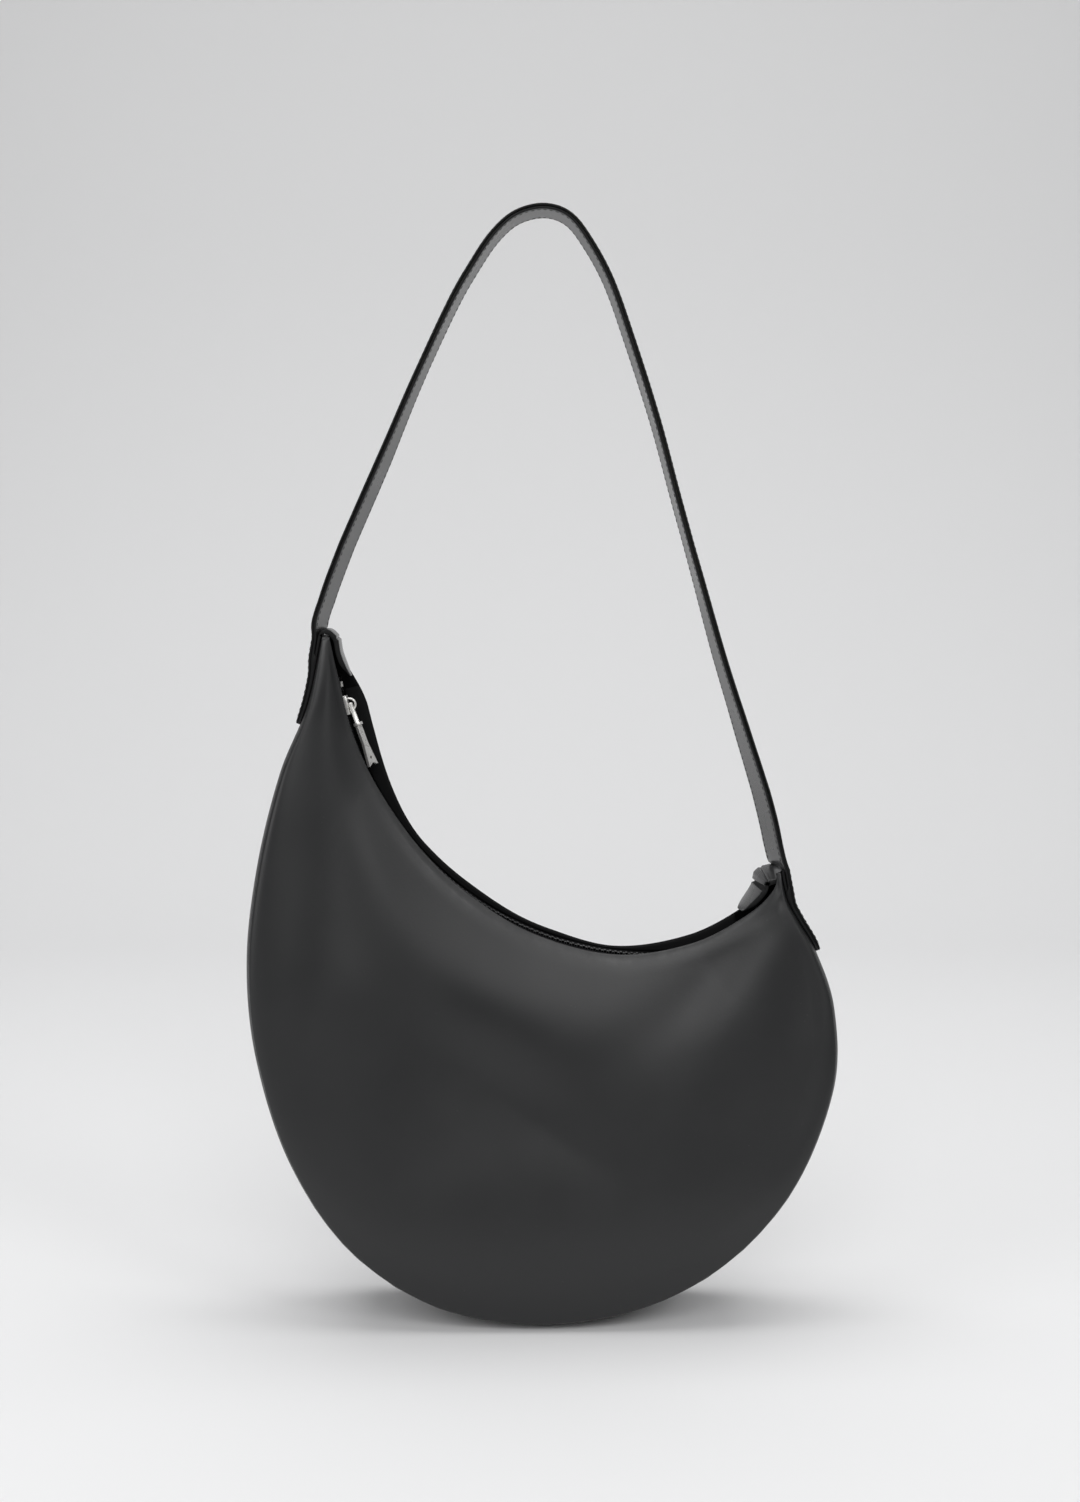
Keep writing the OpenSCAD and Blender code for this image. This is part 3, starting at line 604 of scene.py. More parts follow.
def turnOutward(mesh):
    work = bmesh.new()
    work.from_mesh(mesh)
    bmesh.ops.recalc_face_normals(work, faces=work.faces)
    work.to_mesh(mesh)
    work.free()


def finishPiece(piece, body, slot, *nodes):
    if body:
        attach(piece, body)
    if nodes:
        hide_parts(*nodes)


panels = {
    "steps": 300,           # along the bag
    "rows": 84,             # from the mouth to the seam
    "spacing": (0.95, 1.35),        # powers that bring them closer by the seam, where the panel turns in
    "roll": 0.8,            # radius of the turned edge of the mouth, mm
    "rollTurns": (90, 65, 40, 15),
    "rollEnd": 6.0,         # from the mouth to where the leather is back on its curve, mm
    "tuck": ((0.5, 0.25), (1.2, 0.8)),      # the turn into the seam: inward and off the full depth, mm
    "tuckEnd": 0.4,
    "seamRub": (0.7, 2.5),  # how rubbed the seam's edge is, and how far in, mm
    "rollHeight": 4.8,      # of the soft roll below the mouth
    "rollAt": 46.0,         # its distance from the mouth, mm
    "rollHalf": 36.0,
    "rollRoom": (0.36, 0.26),       # most of the panel's width that those two may take
    "rollSlim": (0.46, 0.20, 0.46),         # its share of that in the left horn, and where that ends
    "rollEase": (0.62, 0.50, 0.74),         # how much flatter it is on the right, and from where to where
    "rollFade": (10.0, 24.0),       # distances from the mouth and the seam that it comes in over, mm
    "foldFade": (14.0, 20.0),       # the same of the folds
    "seamFlat": 1.0,        # by the seam without folds, mm
}
# Soft folds of the front: place x, z, way in degrees, half length, half width and height in mm,
# and the half width on the far side where that differs
frontFolds = [
    (-22, 132, -36, 54, 20, -5.8, 66),  # hollow under the fullest part of the mouth
    (-95, 190, -42, 30, 12, 0.8),
    (-120, 268, 84, 62, 10, -1.1),      # upright fold in the left horn
    (-132, 186, 76, 34, 10, -1.0),
    (-148, 214, 82, 30, 9, 0.9),
    (-112, 196, 74, 32, 10, 0.7),
    (124, 240, 40, 20, 5, 0.7),         # folds that run down from the right tip
    (104, 214, 52, 34, 9, -0.8),
    (72, 184, 38, 34, 12, -0.8),
    (116, 192, 64, 50, 12, 1.2, 24),
    (150, 192, 70, 44, 15, -3.0),       # dark hollow between the tip and the right edge
    (146, 118, 70, 34, 13, -2.2),
    (-62, 56, 10, 110, 40, 3.2),        # the belly
    (70, 60, -16, 70, 30, 1.6),
]
backFolds = [
    (10, 170, 30, 64, 22, -3.6), (60, 205, -6, 55, 15, 2.2), (-66, 225, 40, 52, 15, 2.0),
    (-118, 290, 78, 60, 10, -2.0), (-96, 280, 62, 48, 9, 1.6), (118, 210, 56, 38, 8, 2.0),
    (132, 176, 76, 36, 9, -2.0), (-120, 160, 80, 42, 13, 1.8), (60, 96, -20, 80, 24, 1.8),
    (-40, 70, 10, 80, 22, -1.2),
]


def foldsAt(p, folds):
    lift = np.zeros(p.shape[:-1])
    for x, z, way, halfLength, halfWidth, height, *farHalf in folds:
        c, s = math.cos(math.radians(way)), math.sin(math.radians(way))
        dx, dz = p[..., 0] - x, p[..., 1] - z
        along, across = (dx * c + dz * s) / halfLength, dz * c - dx * s
        across = across / np.where(across < 0, (farHalf or [halfWidth])[0], halfWidth)
        lift += height * np.exp(-0.5 * (along ** 2 + across ** 2))
    return lift


def panelLift(line, sGrid, vGrid, folds):   # how far the leather stands out of its even shape
    width = np.linalg.norm(line[:, -1] - line[:, 0], axis=-1)[:, None]
    width = width / (vGrid[:, -1:] - vGrid[:, :1])
    fromMouth, fromSeam = vGrid * width, (1 - vGrid) * width
    slim, start, end = panels["rollSlim"]
    share = mix(slim, 1.0, ramp((sGrid - start) / (end - start)))
    near = np.minimum(panels["rollAt"], panels["rollRoom"][0] * width) * share
    spread = np.minimum(panels["rollHalf"], panels["rollRoom"][1] * width) * share
    less, start, end = panels["rollEase"]
    height = panels["rollHeight"] * (1 - less * ramp((sGrid - start) / (end - start)))
    roll = height * share * fillAt(sGrid) * np.exp(-((fromMouth - near) / spread) ** 2)
    roll = roll * ramp(fromMouth / panels["rollFade"][0]) * ramp(fromSeam / panels["rollFade"][1])
    keep = (ramp(fromMouth / panels["foldFade"][0])
            * ramp((fromSeam - panels["seamFlat"]) / panels["foldFade"][1]))
    return foldsAt(line, folds) * keep + roll, fromMouth, fromSeam


def makePanel(name, node, side, rise, folds):
    s = np.linspace(0, 1, panels["steps"] + 1)
    byMouth, bySeam = panels["spacing"]
    v = 1 - (1 - np.linspace(0, 1, panels["rows"]) ** byMouth) ** bySeam
    sGrid, vGrid = np.meshgrid(s, v, indexing="ij")
    line, depth = panelLine(sGrid, vGrid, rise), panelDepth(sGrid, vGrid)
    lift, fromMouth, fromSeam = panelLift(line, sGrid, vGrid, folds)
    roll, turns = panels["roll"], np.radians(panels["rollTurns"])
    up = -mouth.right(s)
    top = line[:, 0] - up * roll

    def overEdge(way):      # the outer side of the leather's turn at the mouth is 1, the inner -1
        return [in3d(top + up * roll * math.sin(t), -(bag["mouthHalf"] - roll + way * roll * math.cos(t)))
                for t in turns]

    drop = (up * roll)[:, None] * (1 - ramp(fromMouth / panels["rollEnd"]))[..., None]
    body = in3d(line - drop, -(depth + lift))
    back = in3d(line - drop, -(depth + lift - leather))
    n = edge.right(s)
    seam, seamDepth = line[:, -1], halfAt(s)
    tuck = [in3d(seam - n * inward, -(seamDepth - off)) for inward, off in panels["tuck"]]
    back[:, -1] = in3d(seam - n * leather, -(seamDepth - leather))
    innerEnd = in3d(seam - n * (leather + panels["tuckEnd"]), -(seamDepth - leather))
    outer = np.concatenate([np.stack(overEdge(1), 1), body, np.stack(tuck, 1)], axis=1)
    inner = np.concatenate([np.stack(overEdge(-1), 1), back, np.stack([innerEnd, innerEnd], 1)], axis=1)
    if side > 0:
        outer[..., 1] *= -1
        inner[..., 1] *= -1
    rim = np.zeros(outer.shape[:2])
    rolled = len(turns) + 2
    rim[:, :rolled] = 1.0
    rub, reach = panels["seamRub"]
    rim[:, rolled:-2] = rub * np.exp(-(fromSeam[:, 2:] / reach) ** 2)
    count = 2 * outer.shape[1]
    # The inner side takes the darker, duller facing leather: painted shade for the inside of the mouth
    paintedShadeFaces = np.arange(count) >= outer.shape[1] - 1
    if side > 0:                        # the back panel's mouth edge shows, so it takes that darker leather too: painted shade in place of the light line its turned edge would catch
        paintedShadeFaces[:len(turns) - 1] = True
    piece = shellPiece(name, outer, inner, [bagLeather, facingLeatherPaintedShade], rim, paintedShadeFaces)
    finishPiece(piece, "bag", "bag_leather", node)


makePanel("frontPanelLeather", "front_panel", -1, bag["frontRise"], frontFolds)
makePanel("backPanelLeather", "back_panel", 1, bag["backRise"], backFolds)
print("panels made")


gussetRim = {
    "sink": 0.7,            # the share of the rounding that the leather's edge sinks
    "puckers": 0.25,        # height of the small puckers by the seams, mm
    "puckerLengths": (3.1, 7.7), "puckerReach": 7.0,
    "rubbed": 1.5,          # from the seam, mm
}


def makeGussetLayer(name, node, deep, thick, margin, bevel, span, steps, rows, material, slot, roll):
    s = np.linspace(span[0], span[1], steps + 1)
    k = np.sin(np.linspace(-1, 1, rows) * np.pi / 2)
    sGrid, kGrid = np.meshgrid(s, k, indexing="ij")
    n, rimAt, half = edge.right(sGrid), edge.at(sGrid), halfAt(sGrid)

    def layer(depth, inset, rounding):
        y = kGrid * (half - inset)
        sink = crownDrop(sGrid, y) + depth
        if rounding:
            u = np.clip((np.abs(y) - (half - inset - rounding)) / rounding, 0, 1)
            sink = sink + rounding * gussetRim["sink"] * (1 - np.sqrt(np.maximum(0, 1 - u ** 2)))
            short, long = gussetRim["puckerLengths"]
            ripple = np.sin(sGrid * edge.length / short) * np.sin(sGrid * edge.length / long + 1)
            near = ramp(1 - (half - np.abs(y)) / gussetRim["puckerReach"])
            sink = sink + gussetRim["puckers"] * ripple * near * fillAt(sGrid)
        return in3d(rimAt - n * sink[..., None], y)

    outer = layer(deep, margin, roll)
    inner = layer(deep + thick, margin + bevel, 0)
    rim = np.exp(-((half - np.abs(kGrid) * half) / gussetRim["rubbed"]) ** 2) * (1.0 if roll else 0.0)
    piece = shellPiece(name, outer, inner, [material], rim)
    finishPiece(piece, "bag", slot, node)


gussetLayers = [
    # name, CAD node, how deep under the rim, thickness, margin to the seams on its outer side, and how
    # much more on its inner side, span, steps along, rows across, material, slot, rounding into the seams
    ("gussetLeatherBand", "gusset", 0, leather, gap, leather, (0, 1), 260, 61, gussetLeather,
     "bag_leather", 1.5),
    ("gussetStiffenerBoard", "gusset_stiffener", leather + gap, bag["stiffener"], 4.0, 0,
     bag["innerSpan"], 120, 15, board, "stiffener_board", 0),
    ("gussetLiningCloth", "gusset_lining", leather + 2 * gap + bag["stiffener"], bag["lining"], 4.0, 0,
     bag["innerSpan"], 120, 25, liningCloth, "lining_fabric", 0),
]
for layer in gussetLayers:
    makeGussetLayer(*layer)


linings = {
    "steps": 120, "rows": 33,
    "fromMouth": 13.0, "fromSeam": 8.0,     # where the cloth of a panel starts and ends, mm
    "most": 0.45,           # but at most this share of a narrow place
    "stand": 1.0,           # how much further in its middle hangs, mm
    "slack": 0.9,           # height of its loose waves, mm
    "waves": 37.0, "waver": (1.3, 7.0),
}


def makePanelLining(name, node, side, rise, folds):
    s = np.linspace(*bag["innerSpan"], linings["steps"] + 1)
    k = np.linspace(0, 1, linings["rows"])
    sGrid, kGrid = np.meshgrid(s, k, indexing="ij")
    ends = panelLine(np.stack([s, s], 1), np.tile([0.0, 1.0], (len(s), 1)), rise)
    width = np.linalg.norm(ends[:, 1] - ends[:, 0], axis=-1)[:, None]
    vGrid = mix(np.minimum(linings["most"], linings["fromMouth"] / width),
                1 - np.minimum(linings["most"], linings["fromSeam"] / width), kGrid)
    bend, turns = linings["waver"]
    wave = np.sin(sGrid * linings["waves"] + bend * np.sin(kGrid * turns))
    slack = linings["slack"] * wave * np.sin(np.pi * kGrid) * fillAt(sGrid)
    stand = linings["stand"] * np.sin(np.pi * kGrid) * fillAt(sGrid)
    depth = panelDepth(sGrid, vGrid) - leather - 2 * gap - stand + slack
    line = panelLine(sGrid, vGrid, rise)
    depth = depth + panelLift(line, sGrid, vGrid, folds)[0]
    outer, inner = in3d(line, side * depth), in3d(line, side * (depth - bag["lining"]))
    piece = shellPiece(name, outer, inner, [liningCloth])
    finishPiece(piece, "bag", "lining_fabric", node)


makePanelLining("frontLiningCloth", "front_lining", -1, bag["frontRise"], frontFolds)
makePanelLining("backLiningCloth", "back_lining", 1, bag["backRise"], backFolds)
print("gusset and linings made")


zipper = {
    "guides": (0.18, 0.5, 0.72),    # three places on the mouth's edge that its arc runs along
    "arcPlaces": 41,        # along the facing, whose farthest place gives the arc's radius
    "recess": 1.0,          # how much deeper the arc lies than that, mm
    "tape": 0.6, "chain": 6.0, "pivotGap": 0.08,
    "tapeStart": 0.063, "tapeEnd": 0.844,
    "tapeSteps": 240, "tapeRows": 12,
    "ripple": 0.10, "rippleLength": 5.3,    # of the tape's sewn edge, mm
    "bead": (0.25, 0.6, 0.5),       # beside the teeth: height, distance from the tape's edge, half width
    "facingSteps": 180, "facingRub": 1.5,
}


def centreOf(a, b, c):              # centre of the circle through three points
    p, q = b - a, c - a
    turn = 2 * (p[0] * q[1] - p[1] * q[0])
    return a + np.array([q[1] * (p @ p) - p[1] * (q @ q), p[0] * (q @ q) - q[0] * (p @ p)]) / turn


def zipAngle(share):
    way = mouth.at(share) - zipCentre
    return math.atan2(way[1], way[0]) % (2 * math.pi)


zipCentre = centreOf(*mouth.at(zipper["guides"]))
facingShares = mix(bag["facingSpan"][0], bag["facingSpan"][1], np.linspace(0, 1, zipper["arcPlaces"]))
zipRadius = np.linalg.norm(mouth.at(facingShares) - zipCentre, axis=1).max() + zipper["recess"]


def makeFacing(name, node, side, rise):
    s = np.linspace(*bag["facingSpan"], zipper["facingSteps"] + 1)
    up, m = -mouth.right(s), mouth.at(s)
    top = m + up * (riseAt(s, rise) - bag["facingDrop"])[:, None]
    away = m - zipCentre
    far = np.linalg.norm(away, axis=1)
    foot = m + away / far[:, None] * np.minimum(bag["facingDepth"], zipRadius - gap - far)[:, None]
    rounding = bag["facingRound"] * np.array([1, 0.3, 0, 0, 0, 0, 0, 0.3, 1])
    k = np.linspace(0, 1, len(rounding))
    rows = top[:, None] * (1 - k)[None, :, None] + foot[:, None] * k[None, :, None]
    outerY = bag["mouthHalf"] - leather - gap
    outer = in3d(rows, side * (outerY - rounding))
    inner = in3d(rows, side * (outerY - bag["facing"] + rounding))
    rim = np.tile(np.exp(-(k * bag["facingDepth"] / zipper["facingRub"]) ** 2), (len(s), 1))
    # the facing takes the darker, duller copy of the leather: painted shade
    piece = shellPiece(name, outer, inner, [facingLeatherPaintedShade], rim)
    finishPiece(piece, "bag", "bag_leather", node)


def makeZipTape(name, node, side):
    a = np.linspace(zipAngle(zipper["tapeStart"]), zipAngle(zipper["tapeEnd"]), zipper["tapeSteps"] + 1)
    tapeHalf = bag["mouthHalf"] - leather - gap - bag["facing"] / 2
    k = np.linspace(0, 1, zipper["tapeRows"])
    y = np.linspace(zipper["chain"] / 2 + zipper["pivotGap"], tapeHalf, zipper["tapeRows"])
    ray = np.stack([np.cos(a), np.sin(a)], -1)
    ripple = zipper["ripple"] * np.sin(a * zipRadius / zipper["rippleLength"])[:, None] * k[None]
    height, place, half = zipper["bead"]
    bead = height * np.exp(-((y - y[0] - place) / half) ** 2)[None]

    def face(r):
        p = zipCentre + ray[:, None] * r[..., None]
        return in3d(p, side * np.tile(y, (len(a), 1)))

    outer = face(zipRadius + ripple - bead)
    inner = face(zipRadius + zipper["tape"] + ripple)
    piece = shellPiece(name, outer, inner, [tapeCloth])
    finishPiece(piece, "bag", "zip_tape_fabric", node)


makeFacing("frontMouthFacing", "front_mouth_facing", -1, bag["frontRise"])
makeFacing("backMouthFacing", "back_mouth_facing", 1, bag["backRise"])
makeZipTape("frontZipTape", "front_zip_tape", -1)
makeZipTape("backZipTape", "back_zip_tape", 1)
print("facings and zip tapes made")


strap = {
    "top": 647.0, "width": 25.0, "leastHalf": 0.4, "layer": 1.6, "core": 0.4,
    "tipThick": 3.2, "endThick": 2.6, "endLength": 54.0, "root": 34.0,
    "tab": 1.0, "tabLeg": 12.0,
    "apex": 0.006,          # place of the highest point, a share of the bag's half width
    "lineSteps": 12, "endSteps": 24,
    "freeFrom": 4.0, "freeEase": 9.0,       # its twist begins this far inside a sewn end, over this length
    "step": 2.4,            # between two rings
    "tipRings": 12.0,       # the length of closer rings at each round end, mm
    "rows": 19,             # across
    "coreFrom": 58.0, "coreEase": 30.0,     # where the layers part for the tape in them, mm from each end
    "edgeReach": 1.6, "edgeDepth": 0.55,    # of the rounded edge, mm
    "seamGroove": 0.12,     # depth of the line between the layers, mm
    "sewnSink": 0.22,       # how far the sewn ends are pressed in, mm
    "coreMargin": 2.0, "coreGap": 0.04, "coreSteps": 240,
}
leftStrand = [(0.006, 0.037), (0.04, 0.1), (0.139, 0.227), (0.292, 0.415), (0.439, 0.602),
              (0.601, 0.788), (0.701, 0.88), (0.79, 0.945), (0.885, 0.986)]
rightStrand = [(0.017, 0.018), (0.062, 0.079), (0.173, 0.202), (0.278, 0.325), (0.37, 0.446),
               (0.462, 0.567), (0.551, 0.687), (0.655, 0.806), (0.741, 0.894), (0.828, 0.953),
               (0.905, 0.988)]
# Turn of the strap about its own length, in degrees by height, inner face to the front
leftTwist = [(0, 12), (436, 11.6), (488, 10.8), (505, 10), (522, 8), (539, 6.5), (560, 5.3), (700, 5)]
rightTwist = [(0, 16), (296, 16), (313, 15), (331, 13.4), (349, 11.8), (366, 9.8), (384, 8.4),
              (401, 7.4), (430, 5.6), (455, 4), (500, 4), (560, 4.8), (700, 5)]
# How far it lies inward of its plain curve, in millimetres by height
leftInward = [(0, 1.2), (413, 1.4), (424, 2.2), (436, 1.7), (456, 0.9), (610, 0.8), (640, 0), (700, 0)]
rightInward = [(0, 2.4), (272, 3.0), (284, 2.8), (296, 2.0), (313, 0.9), (331, 0.4), (360, 0), (700, 0)]


def stepped(start, end, shares):
    return [(start[0] + (end[0] - start[0]) * x, start[1] + (end[1] - start[1]) * z) for x, z in shares]


def makeStrapPath():
    total = 2 * strap["layer"] + strap["core"]
    stand = 2 * gap + strap["tab"] + strap["tipThick"] / 2
    leftRoot = edge.at(0.0) + edge.right(0.0) * stand
    rightRoot = edge.at(1.0) + edge.right(1.0) * stand
    apex = np.array([strap["apex"] * bag["width"] / 2, strap["top"] - total / 2])
    loop = smoothLine([leftRoot] + stepped(leftRoot, apex, leftStrand) + [apex]
                      + stepped(rightRoot, apex, rightStrand)[::-1] + [rightRoot], strap["lineSteps"])
    k = np.linspace(0, 1, strap["endSteps"] + 1)
    tongue = strap["endLength"] / edge.length
    lift = (strap["tab"] + gap) * (1 - ramp((k * strap["endLength"] - strap["tabLeg"]) / strap["tabLeg"]))
    stand = gap + lift + mix(strap["tipThick"], strap["endThick"], k) / 2
    leftEnd = edge.at(tongue * k) + edge.right(tongue * k) * stand[:, None]
    rightEnd = edge.at(1 - tongue * k) + edge.right(1 - tongue * k) * stand[:, None]
    whole = curveLine(np.vstack([leftEnd[::-1][:-1], loop, rightEnd[1:]]))
    return whole, total


strapPath, strapThick = makeStrapPath()


def tongueHalf(fromEnd, r, least):      # half the width of a strip with a round end
    return np.where(fromEnd < r, np.sqrt(np.maximum(least, r * r - (r - fromEnd) ** 2)), r)


def roundedEdge(halfWidth, w, reach, depth):    # how far each place has turned, and how deep it has sunk
    fromRim = halfWidth[:, None] * (1 - np.abs(w))[None]
    turn = np.clip(1 - fromRim / reach, 0, 1)
    return turn, depth * (1 - np.sqrt(np.maximum(0, 1 - turn ** 2)))


def strapFrames(shares):
    centre, along = strapPath.at(shares), strapPath.heading(shares)
    inward = np.stack([along[:, 1], -along[:, 0]], -1)
    reach = shares * strapPath.length
    fromEnd = np.minimum(reach, strapPath.length - reach)
    free = ramp((fromEnd - strap["endLength"] + strap["freeFrom"]) / strap["freeEase"])

    def byHeight(left, right):
        return np.where(centre[:, 0] < 0, np.interp(centre[:, 1], *np.array(left, float).T),
                        np.interp(centre[:, 1], *np.array(right, float).T)) * free

    twist = np.radians(byHeight(leftTwist, rightTwist))
    c, s = np.cos(twist), np.sin(twist)
    centre = centre + inward * byHeight(leftInward, rightInward)[:, None]
    facing = np.stack([inward[:, 0] * c, -s, inward[:, 1] * c], -1)
    across = np.stack([inward[:, 0] * s, c, inward[:, 1] * s], -1)
    thick = np.interp(fromEnd, [0, strap["endLength"], strap["endLength"] + strap["root"]],
                      [strap["endThick"], strap["tipThick"], strapThick])
    halfWidth = np.maximum(tongueHalf(fromEnd, strap["width"] / 2, 0), strap["leastHalf"])
    return in3d(centre, 0.0), facing, across, thick, halfWidth, fromEnd


def edgePaintAndShadeFaces(cols, dark):   # faces that carry the black paint: both edges, which are real edge paint, and the given rows, where it is painted shade
    painted = np.zeros((len(dark) - 1, 2 * cols), bool)
    painted[:, [0, cols - 2, cols - 1, cols, 2 * cols - 2, 2 * cols - 1]] = True
    painted[dark[:-1]] = True
    return painted


def makeStrapLayer(name, part, material):
    shares = np.linspace(0, 1, int(strapPath.length / strap["step"]))
    tip = np.linspace(0, 1, 9)[1:] ** 2 * strap["tipRings"] / strapPath.length
    shares = np.unique(np.concatenate([tip, shares[(shares > tip[-1]) & (shares < 1 - tip[-1])], 1 - tip,
                                       [0.0002, 0.9998]]))
    centre, facing, across, thick, halfWidth, fromEnd = strapFrames(shares)
    core = strap["core"] * ramp((fromEnd - strap["coreFrom"]) / strap["coreEase"])
    w = np.sin(np.linspace(-1, 1, strap["rows"]) * np.pi / 2)
    turn, soften = roundedEdge(halfWidth, w, np.minimum(strap["edgeReach"], halfWidth)[:, None],
                               strap["edgeDepth"])
    groove = strap["seamGroove"] * (soften > 0.2)
    if part == "outer":
        outerD, innerD = -thick[:, None] / 2 + soften, -core[:, None] / 2 - groove
    else:
        outerD, innerD = core[:, None] / 2 + groove, thick[:, None] / 2 - soften
        # the sewn ends lie close on the gusset and on the tab's leg
        below = strap["endLength"] - fromEnd - strap["tabLeg"]
        lift = (strap["tab"] + gap) * (1 - ramp(below / strap["tabLeg"]))
        pastLeg = ramp((below - 0.3) / 0.8)
        innerD = innerD + ((strap["sewnSink"] + lift * pastLeg) * ramp((below + 8) / 4))[:, None]
        sewnShare = np.maximum(0, strap["endLength"] - fromEnd) / edge.length
        innerD = innerD + pastLeg[:, None] * crownDrop(sewnShare[:, None], halfWidth[:, None] * w[None])

    def face(d):
        return (centre[:, None] + facing[:, None] * d[..., None]
                + across[:, None] * (halfWidth[:, None] * w[None])[..., None])

    # painted shade: the inner layer's sewn ends take the black paint, darkening the gap between the strap's
    # end and the gusset
    sewnShadeRows = (fromEnd < strap["endLength"] + 1) & (part == "inner")
    return shellPiece(name, face(outerD), face(innerD), [material, edgePaintAndShade], turn,
                      edgePaintAndShadeFaces(strap["rows"], sewnShadeRows))


def bendAtTips(piece):      # bakes the piece's placement into its mesh; it does not bend it
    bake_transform(piece)


outerLayer = makeStrapLayer("strapOuterLeather", "outer", strapLeather)
bendAtTips(outerLayer)
finishPiece(outerLayer, None, "strap_leather", "strap_outer_layer", "left_strap_root", "right_strap_root",
            "left_strap_end", "right_strap_end")
innerLayer = makeStrapLayer("strapInnerLeather", "inner", strapInnerLeather)
bendAtTips(innerLayer)
finishPiece(innerLayer, None, "strap_leather", "strap_inner_layer")


def makeStrapCore():
    start = (strap["endLength"] + strap["root"] + strap["coreMargin"]) / strapPath.length
    centre, facing, across, _, halfWidth, _ = strapFrames(np.linspace(start, 1 - start, strap["coreSteps"]))
    reach = (halfWidth - strap["coreMargin"])[:, None] * np.linspace(-1, 1, 5)[None]

    def face(d):
        return centre[:, None] + facing[:, None] * d + across[:, None] * reach[..., None]

    half = strap["core"] / 2 - strap["coreGap"]
    piece = shellPiece("strapReinforcingTape", face(-half), face(half), [strapTapeCloth])
    finishPiece(piece, "strap", "strap_tape", "strap_core")


makeStrapCore()


stitch = {
    "pitch": 3.6, "length": 2.5, "thick": 0.5,
    "fromEdge": 2.2, "fromEnd": 6.0,
    "stand": 0.02,          # of its middle over the leather, mm
    "sunk": 0.35,           # of its thickness, at its ends
    "corners": 6,
    # shares of its length, and of its thickness there
    "stations": [(-0.5, 0.15), (-0.42, 0.75), (-0.2, 1.0), (0.2, 1.0), (0.42, 0.75), (0.5, 0.15)],
}


def stitchMesh(name, places, ways, normals, material):
    corners, stations, length, thick = [stitch[key] for key in ("corners", "stations", "length", "thick")]
    points, faces = [], []
    for place, way, normal in zip(places, ways, normals):
        side = np.cross(way, normal)
        base = len(points)
        for station, size in stations:
            dip = -stitch["sunk"] * (abs(station) / 0.5) ** 3 * thick
            for j in range(corners):
                turn = 2 * math.pi * j / corners
                points.append(place + way * station * length
                              + normal * (dip + math.sin(turn) * thick / 2 * size)
                              + side * math.cos(turn) * thick / 2 * size)
        for i in range(len(stations) - 1):
            a, b = base + i * corners, base + (i + 1) * corners
            for j in range(corners):
                n = (j + 1) % corners
                faces.append((a + j, a + n, b + n, b + j))
        last = base + (len(stations) - 1) * corners
        faces.append(tuple(base + j for j in range(corners))[::-1])
        faces.append(tuple(last + j for j in range(corners)))
    points = np.array(points)
    mesh = startMesh(name, (points * mm).tolist(), faces, material)
    layFlat(mesh, points[:, (0, 2)])
    turnOutward(mesh)
    return placeMesh(name, mesh)


def makeStrapStitches():
    count = int((strapPath.length - 2 * stitch["fromEnd"]) / stitch["pitch"])
    shares = (stitch["fromEnd"] + np.arange(count + 1) * stitch["pitch"]) / strapPath.length
    centre, facing, across, thick, halfWidth, fromEnd = strapFrames(shares)
    places, ways, normals = [], [], []
    for side in (-1, 1):
        row = centre + across * (side * np.maximum(halfWidth - stitch["fromEdge"], 0.5))[:, None]
        way = np.gradient(row, axis=0)
        way /= np.linalg.norm(way, axis=1, keepdims=True)
        for face in (-1, 1):
            # on the bag, the inner face is hidden against the gusset
            shown = np.ones(len(shares), bool) if face < 0 else fromEnd > strap["endLength"] + 4
            lift = face * (thick / 2 + stitch["stand"])
            places.append((row + facing * lift[:, None])[shown])
            ways.append(way[shown])
            normals.append((facing * face)[shown])
    piece = stitchMesh("strapStitches", np.vstack(places), np.vstack(ways), np.vstack(normals), threadCloth)
    bendAtTips(piece)
    finishPiece(piece, None, "strap_leather")


makeStrapStitches()
print("strap made")


tabs = {
    # the line of each over its tip, and the places of its creases, in widths of the strap from the tip
    "leftLine": [(-0.15, 0.13), (0.01, 0.13), (0.17, -0.07), (0.24, -0.41), (0.44, -0.93)],
    "rightLine": [(0.07, 0.08), (-0.12, 0.06), (-0.32, -0.01), (-0.455, -0.12), (-0.485, -0.27),
                  (-0.495, -0.37), (-0.64, -0.62), (-0.87, -0.92)],
    "cup": 0.7,             # how far the middle of a tab stands over its sides, mm
    "padding": 2.0,         # extra thickness where the tab folds over the tip
    "onTip": 6.0,           # the length over which both begin, past the sewn leg, mm
    "steps": 150, "rows": 17,
    "endRings": 8.0,        # the length of closer rings at its round end, mm
    "edgeReach": 0.9, "edgeDepth": 0.4,     # of the rounded edge, mm
    "leftLean": (-0.6, -0.6),       # how far the front side hangs lower, at the tip and the end
    "rightLean": (5.6, 2.4),
    "leftCreases": [(0.12, -0.06, 0.5)],    # the last number is the depth in mm
    "rightCreases": [(-0.30, 0.0, 0.55), (-0.49, -0.33, 1.3)],
    "creaseHalf": 0.5,      # half width in mm, which the distances of the next line are counted in
    "creaseBanks": (0.2, 3.0, 1.2),         # height in mm, distance and half width of the banks beside it
}


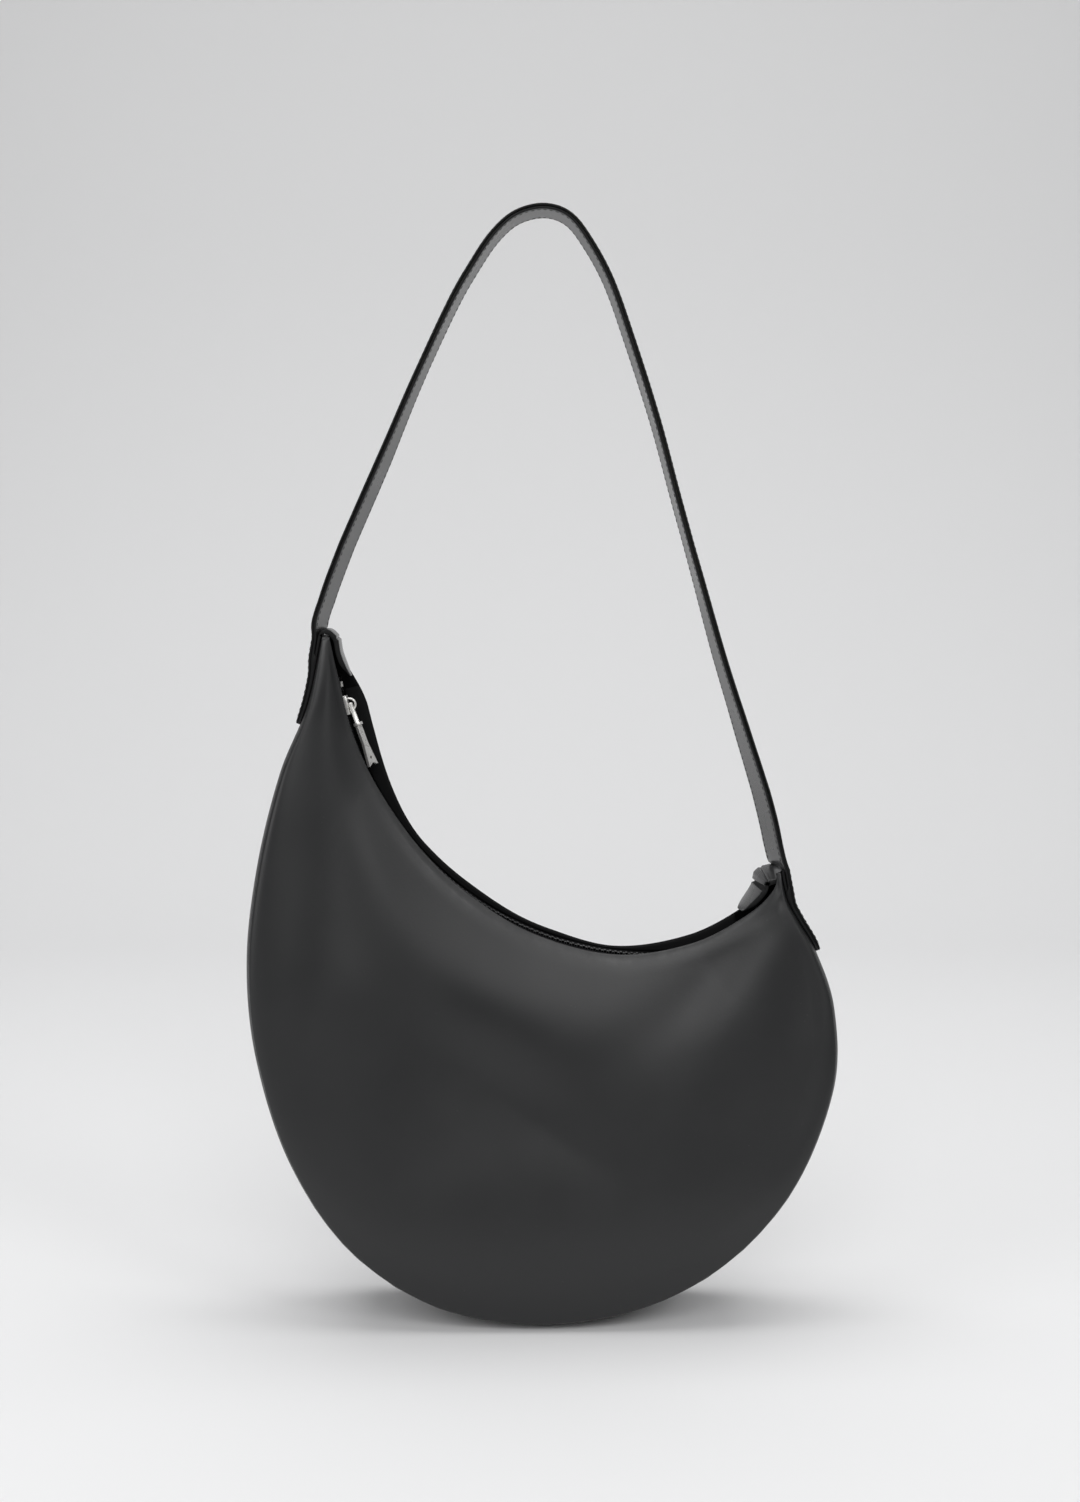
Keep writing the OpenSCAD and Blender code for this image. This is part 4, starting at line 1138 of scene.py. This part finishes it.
def makeTab(name, node, start, way, corner, side):
    shares, lean = tabs[side + "Line"], tabs[side + "Lean"]
    legShares = start + way * np.array([1, 0.5, 0]) * strap["tabLeg"] / edge.length
    leg = edge.at(legShares) + edge.right(legShares) * (gap + strap["tab"] / 2)
    tip = [corner + np.array(p) * strap["width"] for p in shares]
    line = curveLine(smoothLine(np.vstack([leg, tip]), 12))
    s = np.unique(np.concatenate([np.linspace(0, 0.995, tabs["steps"]),
                                  1 - np.linspace(0, 1, 9) ** 2 * tabs["endRings"] / line.length]))
    centre, bagward = line.at(s), line.right(s) * way
    fromLeg, fromEnd = s * line.length, (1 - s) * line.length
    halfWidth = tongueHalf(fromEnd, bag["mouthHalf"] - leather - gap, 0.05)
    w = np.sin(np.linspace(-1, 1, tabs["rows"]) * np.pi / 2)
    onTip = ramp((fromLeg - strap["tabLeg"]) / tabs["onTip"])
    cup = tabs["cup"] * onTip[:, None] * (w ** 2)[None]
    turn, soften = roundedEdge(halfWidth, w, tabs["edgeReach"], tabs["edgeDepth"])
    groove = np.zeros(len(s))
    bank, bankAt, bankHalf = tabs["creaseBanks"]
    for x, z, deep in tabs[side + "Creases"]:
        nearest = np.argmin(np.linalg.norm(centre - corner - np.array((x, z)) * strap["width"], axis=1))
        away = (s - s[nearest]) * line.length / tabs["creaseHalf"]
        banks = bank * np.exp(-0.5 * ((np.abs(away) - bankAt) / bankHalf) ** 2)
        groove += deep * np.exp(-0.5 * away ** 2) - banks
    groove = groove[:, None]
    half = strap["tab"] / 2

    def face(d):
        p = centre[:, None] - bagward[:, None] * d[..., None]
        return in3d(p, halfWidth[:, None] * w[None])

    lean = mix(lean[0], lean[1], ramp((s - 0.5) / 0.4))
    hang = (lean * onTip)[:, None] * ((1 - w) / 2)[None]
    padding = tabs["padding"] * (onTip * ramp(fromEnd / 10))[:, None]
    legShare = np.maximum(0, strap["tabLeg"] - fromLeg) / edge.length
    drop = crownDrop(legShare[:, None], halfWidth[:, None] * w[None]) * (legShare > 0)[:, None]
    outer = face(half - soften - cup - hang - groove)
    inner = face(-half + soften - cup - hang - padding - drop)
    dark = (fromLeg < strap["tabLeg"] + 1) | (groove[:, 0] > 0.4)       # painted shade: the sewn rows and the creases take the black paint, as in shadow
    piece = shellPiece(name, outer, inner, [strapInnerLeather, edgePaintAndShade], turn,
                       edgePaintAndShadeFaces(tabs["rows"], dark))
    finishPiece(piece, "bag", "strap_leather", node)


makeTab("leftTipTab", "left_tip_tab", 0.0, 1, mouth.at(0.0), "left")
makeTab("rightTipTab", "right_tip_tab", 1.0, -1, mouth.at(1.0), "right")
print("tabs made")


zipMetal = {"front_zip_teeth": darkTeeth, "back_zip_teeth": darkTeeth,
            "zip_top_stops": silverMetal, "zip_bottom_stop": silverMetal}
for node, material in zipMetal.items():
    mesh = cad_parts[node].data
    if not mesh.materials:
        mesh.materials.append(material)
    for place in range(len(mesh.materials)):
        mesh.materials[place] = material

castings = [
    # CAD node, its polished piece, body, radius of the rounded edges in mm
    ("slider_body", "sliderCasting", "slider", 0.28),
    ("slider_bridge", "sliderBridge", "slider", 0.3),
    ("puller_link", "pullerLink", "link", 0.3),
    ("pull_bar", "pullBar", "bar", 0.3),
]
castEdges = {
    "weld": 0.000005,       # metres
    "flat": 1.5,            # degrees: faces that meet at less become one
    "sharp": 30.0,          # edges above this are rounded
    "smooth": 32.0,         # edges below this are shaded smooth
    "segments": 3,
}


def smoothByAngle(mesh, degrees):
    work = bmesh.new()
    work.from_mesh(mesh)
    for e in work.edges:
        e.smooth = len(e.link_faces) == 2 and e.calc_face_angle(0) < math.radians(degrees)
    work.to_mesh(mesh)
    work.free()


def polishCasting(node, name, body, radius):    # the CAD form with its edges rounded
    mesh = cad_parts[node].data.copy()
    mesh.name = name
    work = bmesh.new()
    work.from_mesh(mesh)
    bmesh.ops.remove_doubles(work, verts=work.verts, dist=castEdges["weld"])
    bmesh.ops.dissolve_limit(work, angle_limit=math.radians(castEdges["flat"]), verts=work.verts,
                             edges=work.edges)
    sharp = [e for e in work.edges
             if len(e.link_faces) == 2 and e.calc_face_angle(0) > math.radians(castEdges["sharp"])]
    bmesh.ops.bevel(work, geom=sharp, offset=radius * mm, offset_type="OFFSET", profile=0.5,
                    segments=castEdges["segments"], affect="EDGES", clamp_overlap=True)
    for face in work.faces:
        face.smooth = True
    work.to_mesh(mesh)
    work.free()
    mesh.materials.clear()
    mesh.materials.append(silverMetal)
    smoothByAngle(mesh, castEdges["smooth"])
    finishPiece(placeMesh(name, mesh), body, "silver_metal", node)


for casting in castings:
    polishCasting(*casting)
print("metal polished")
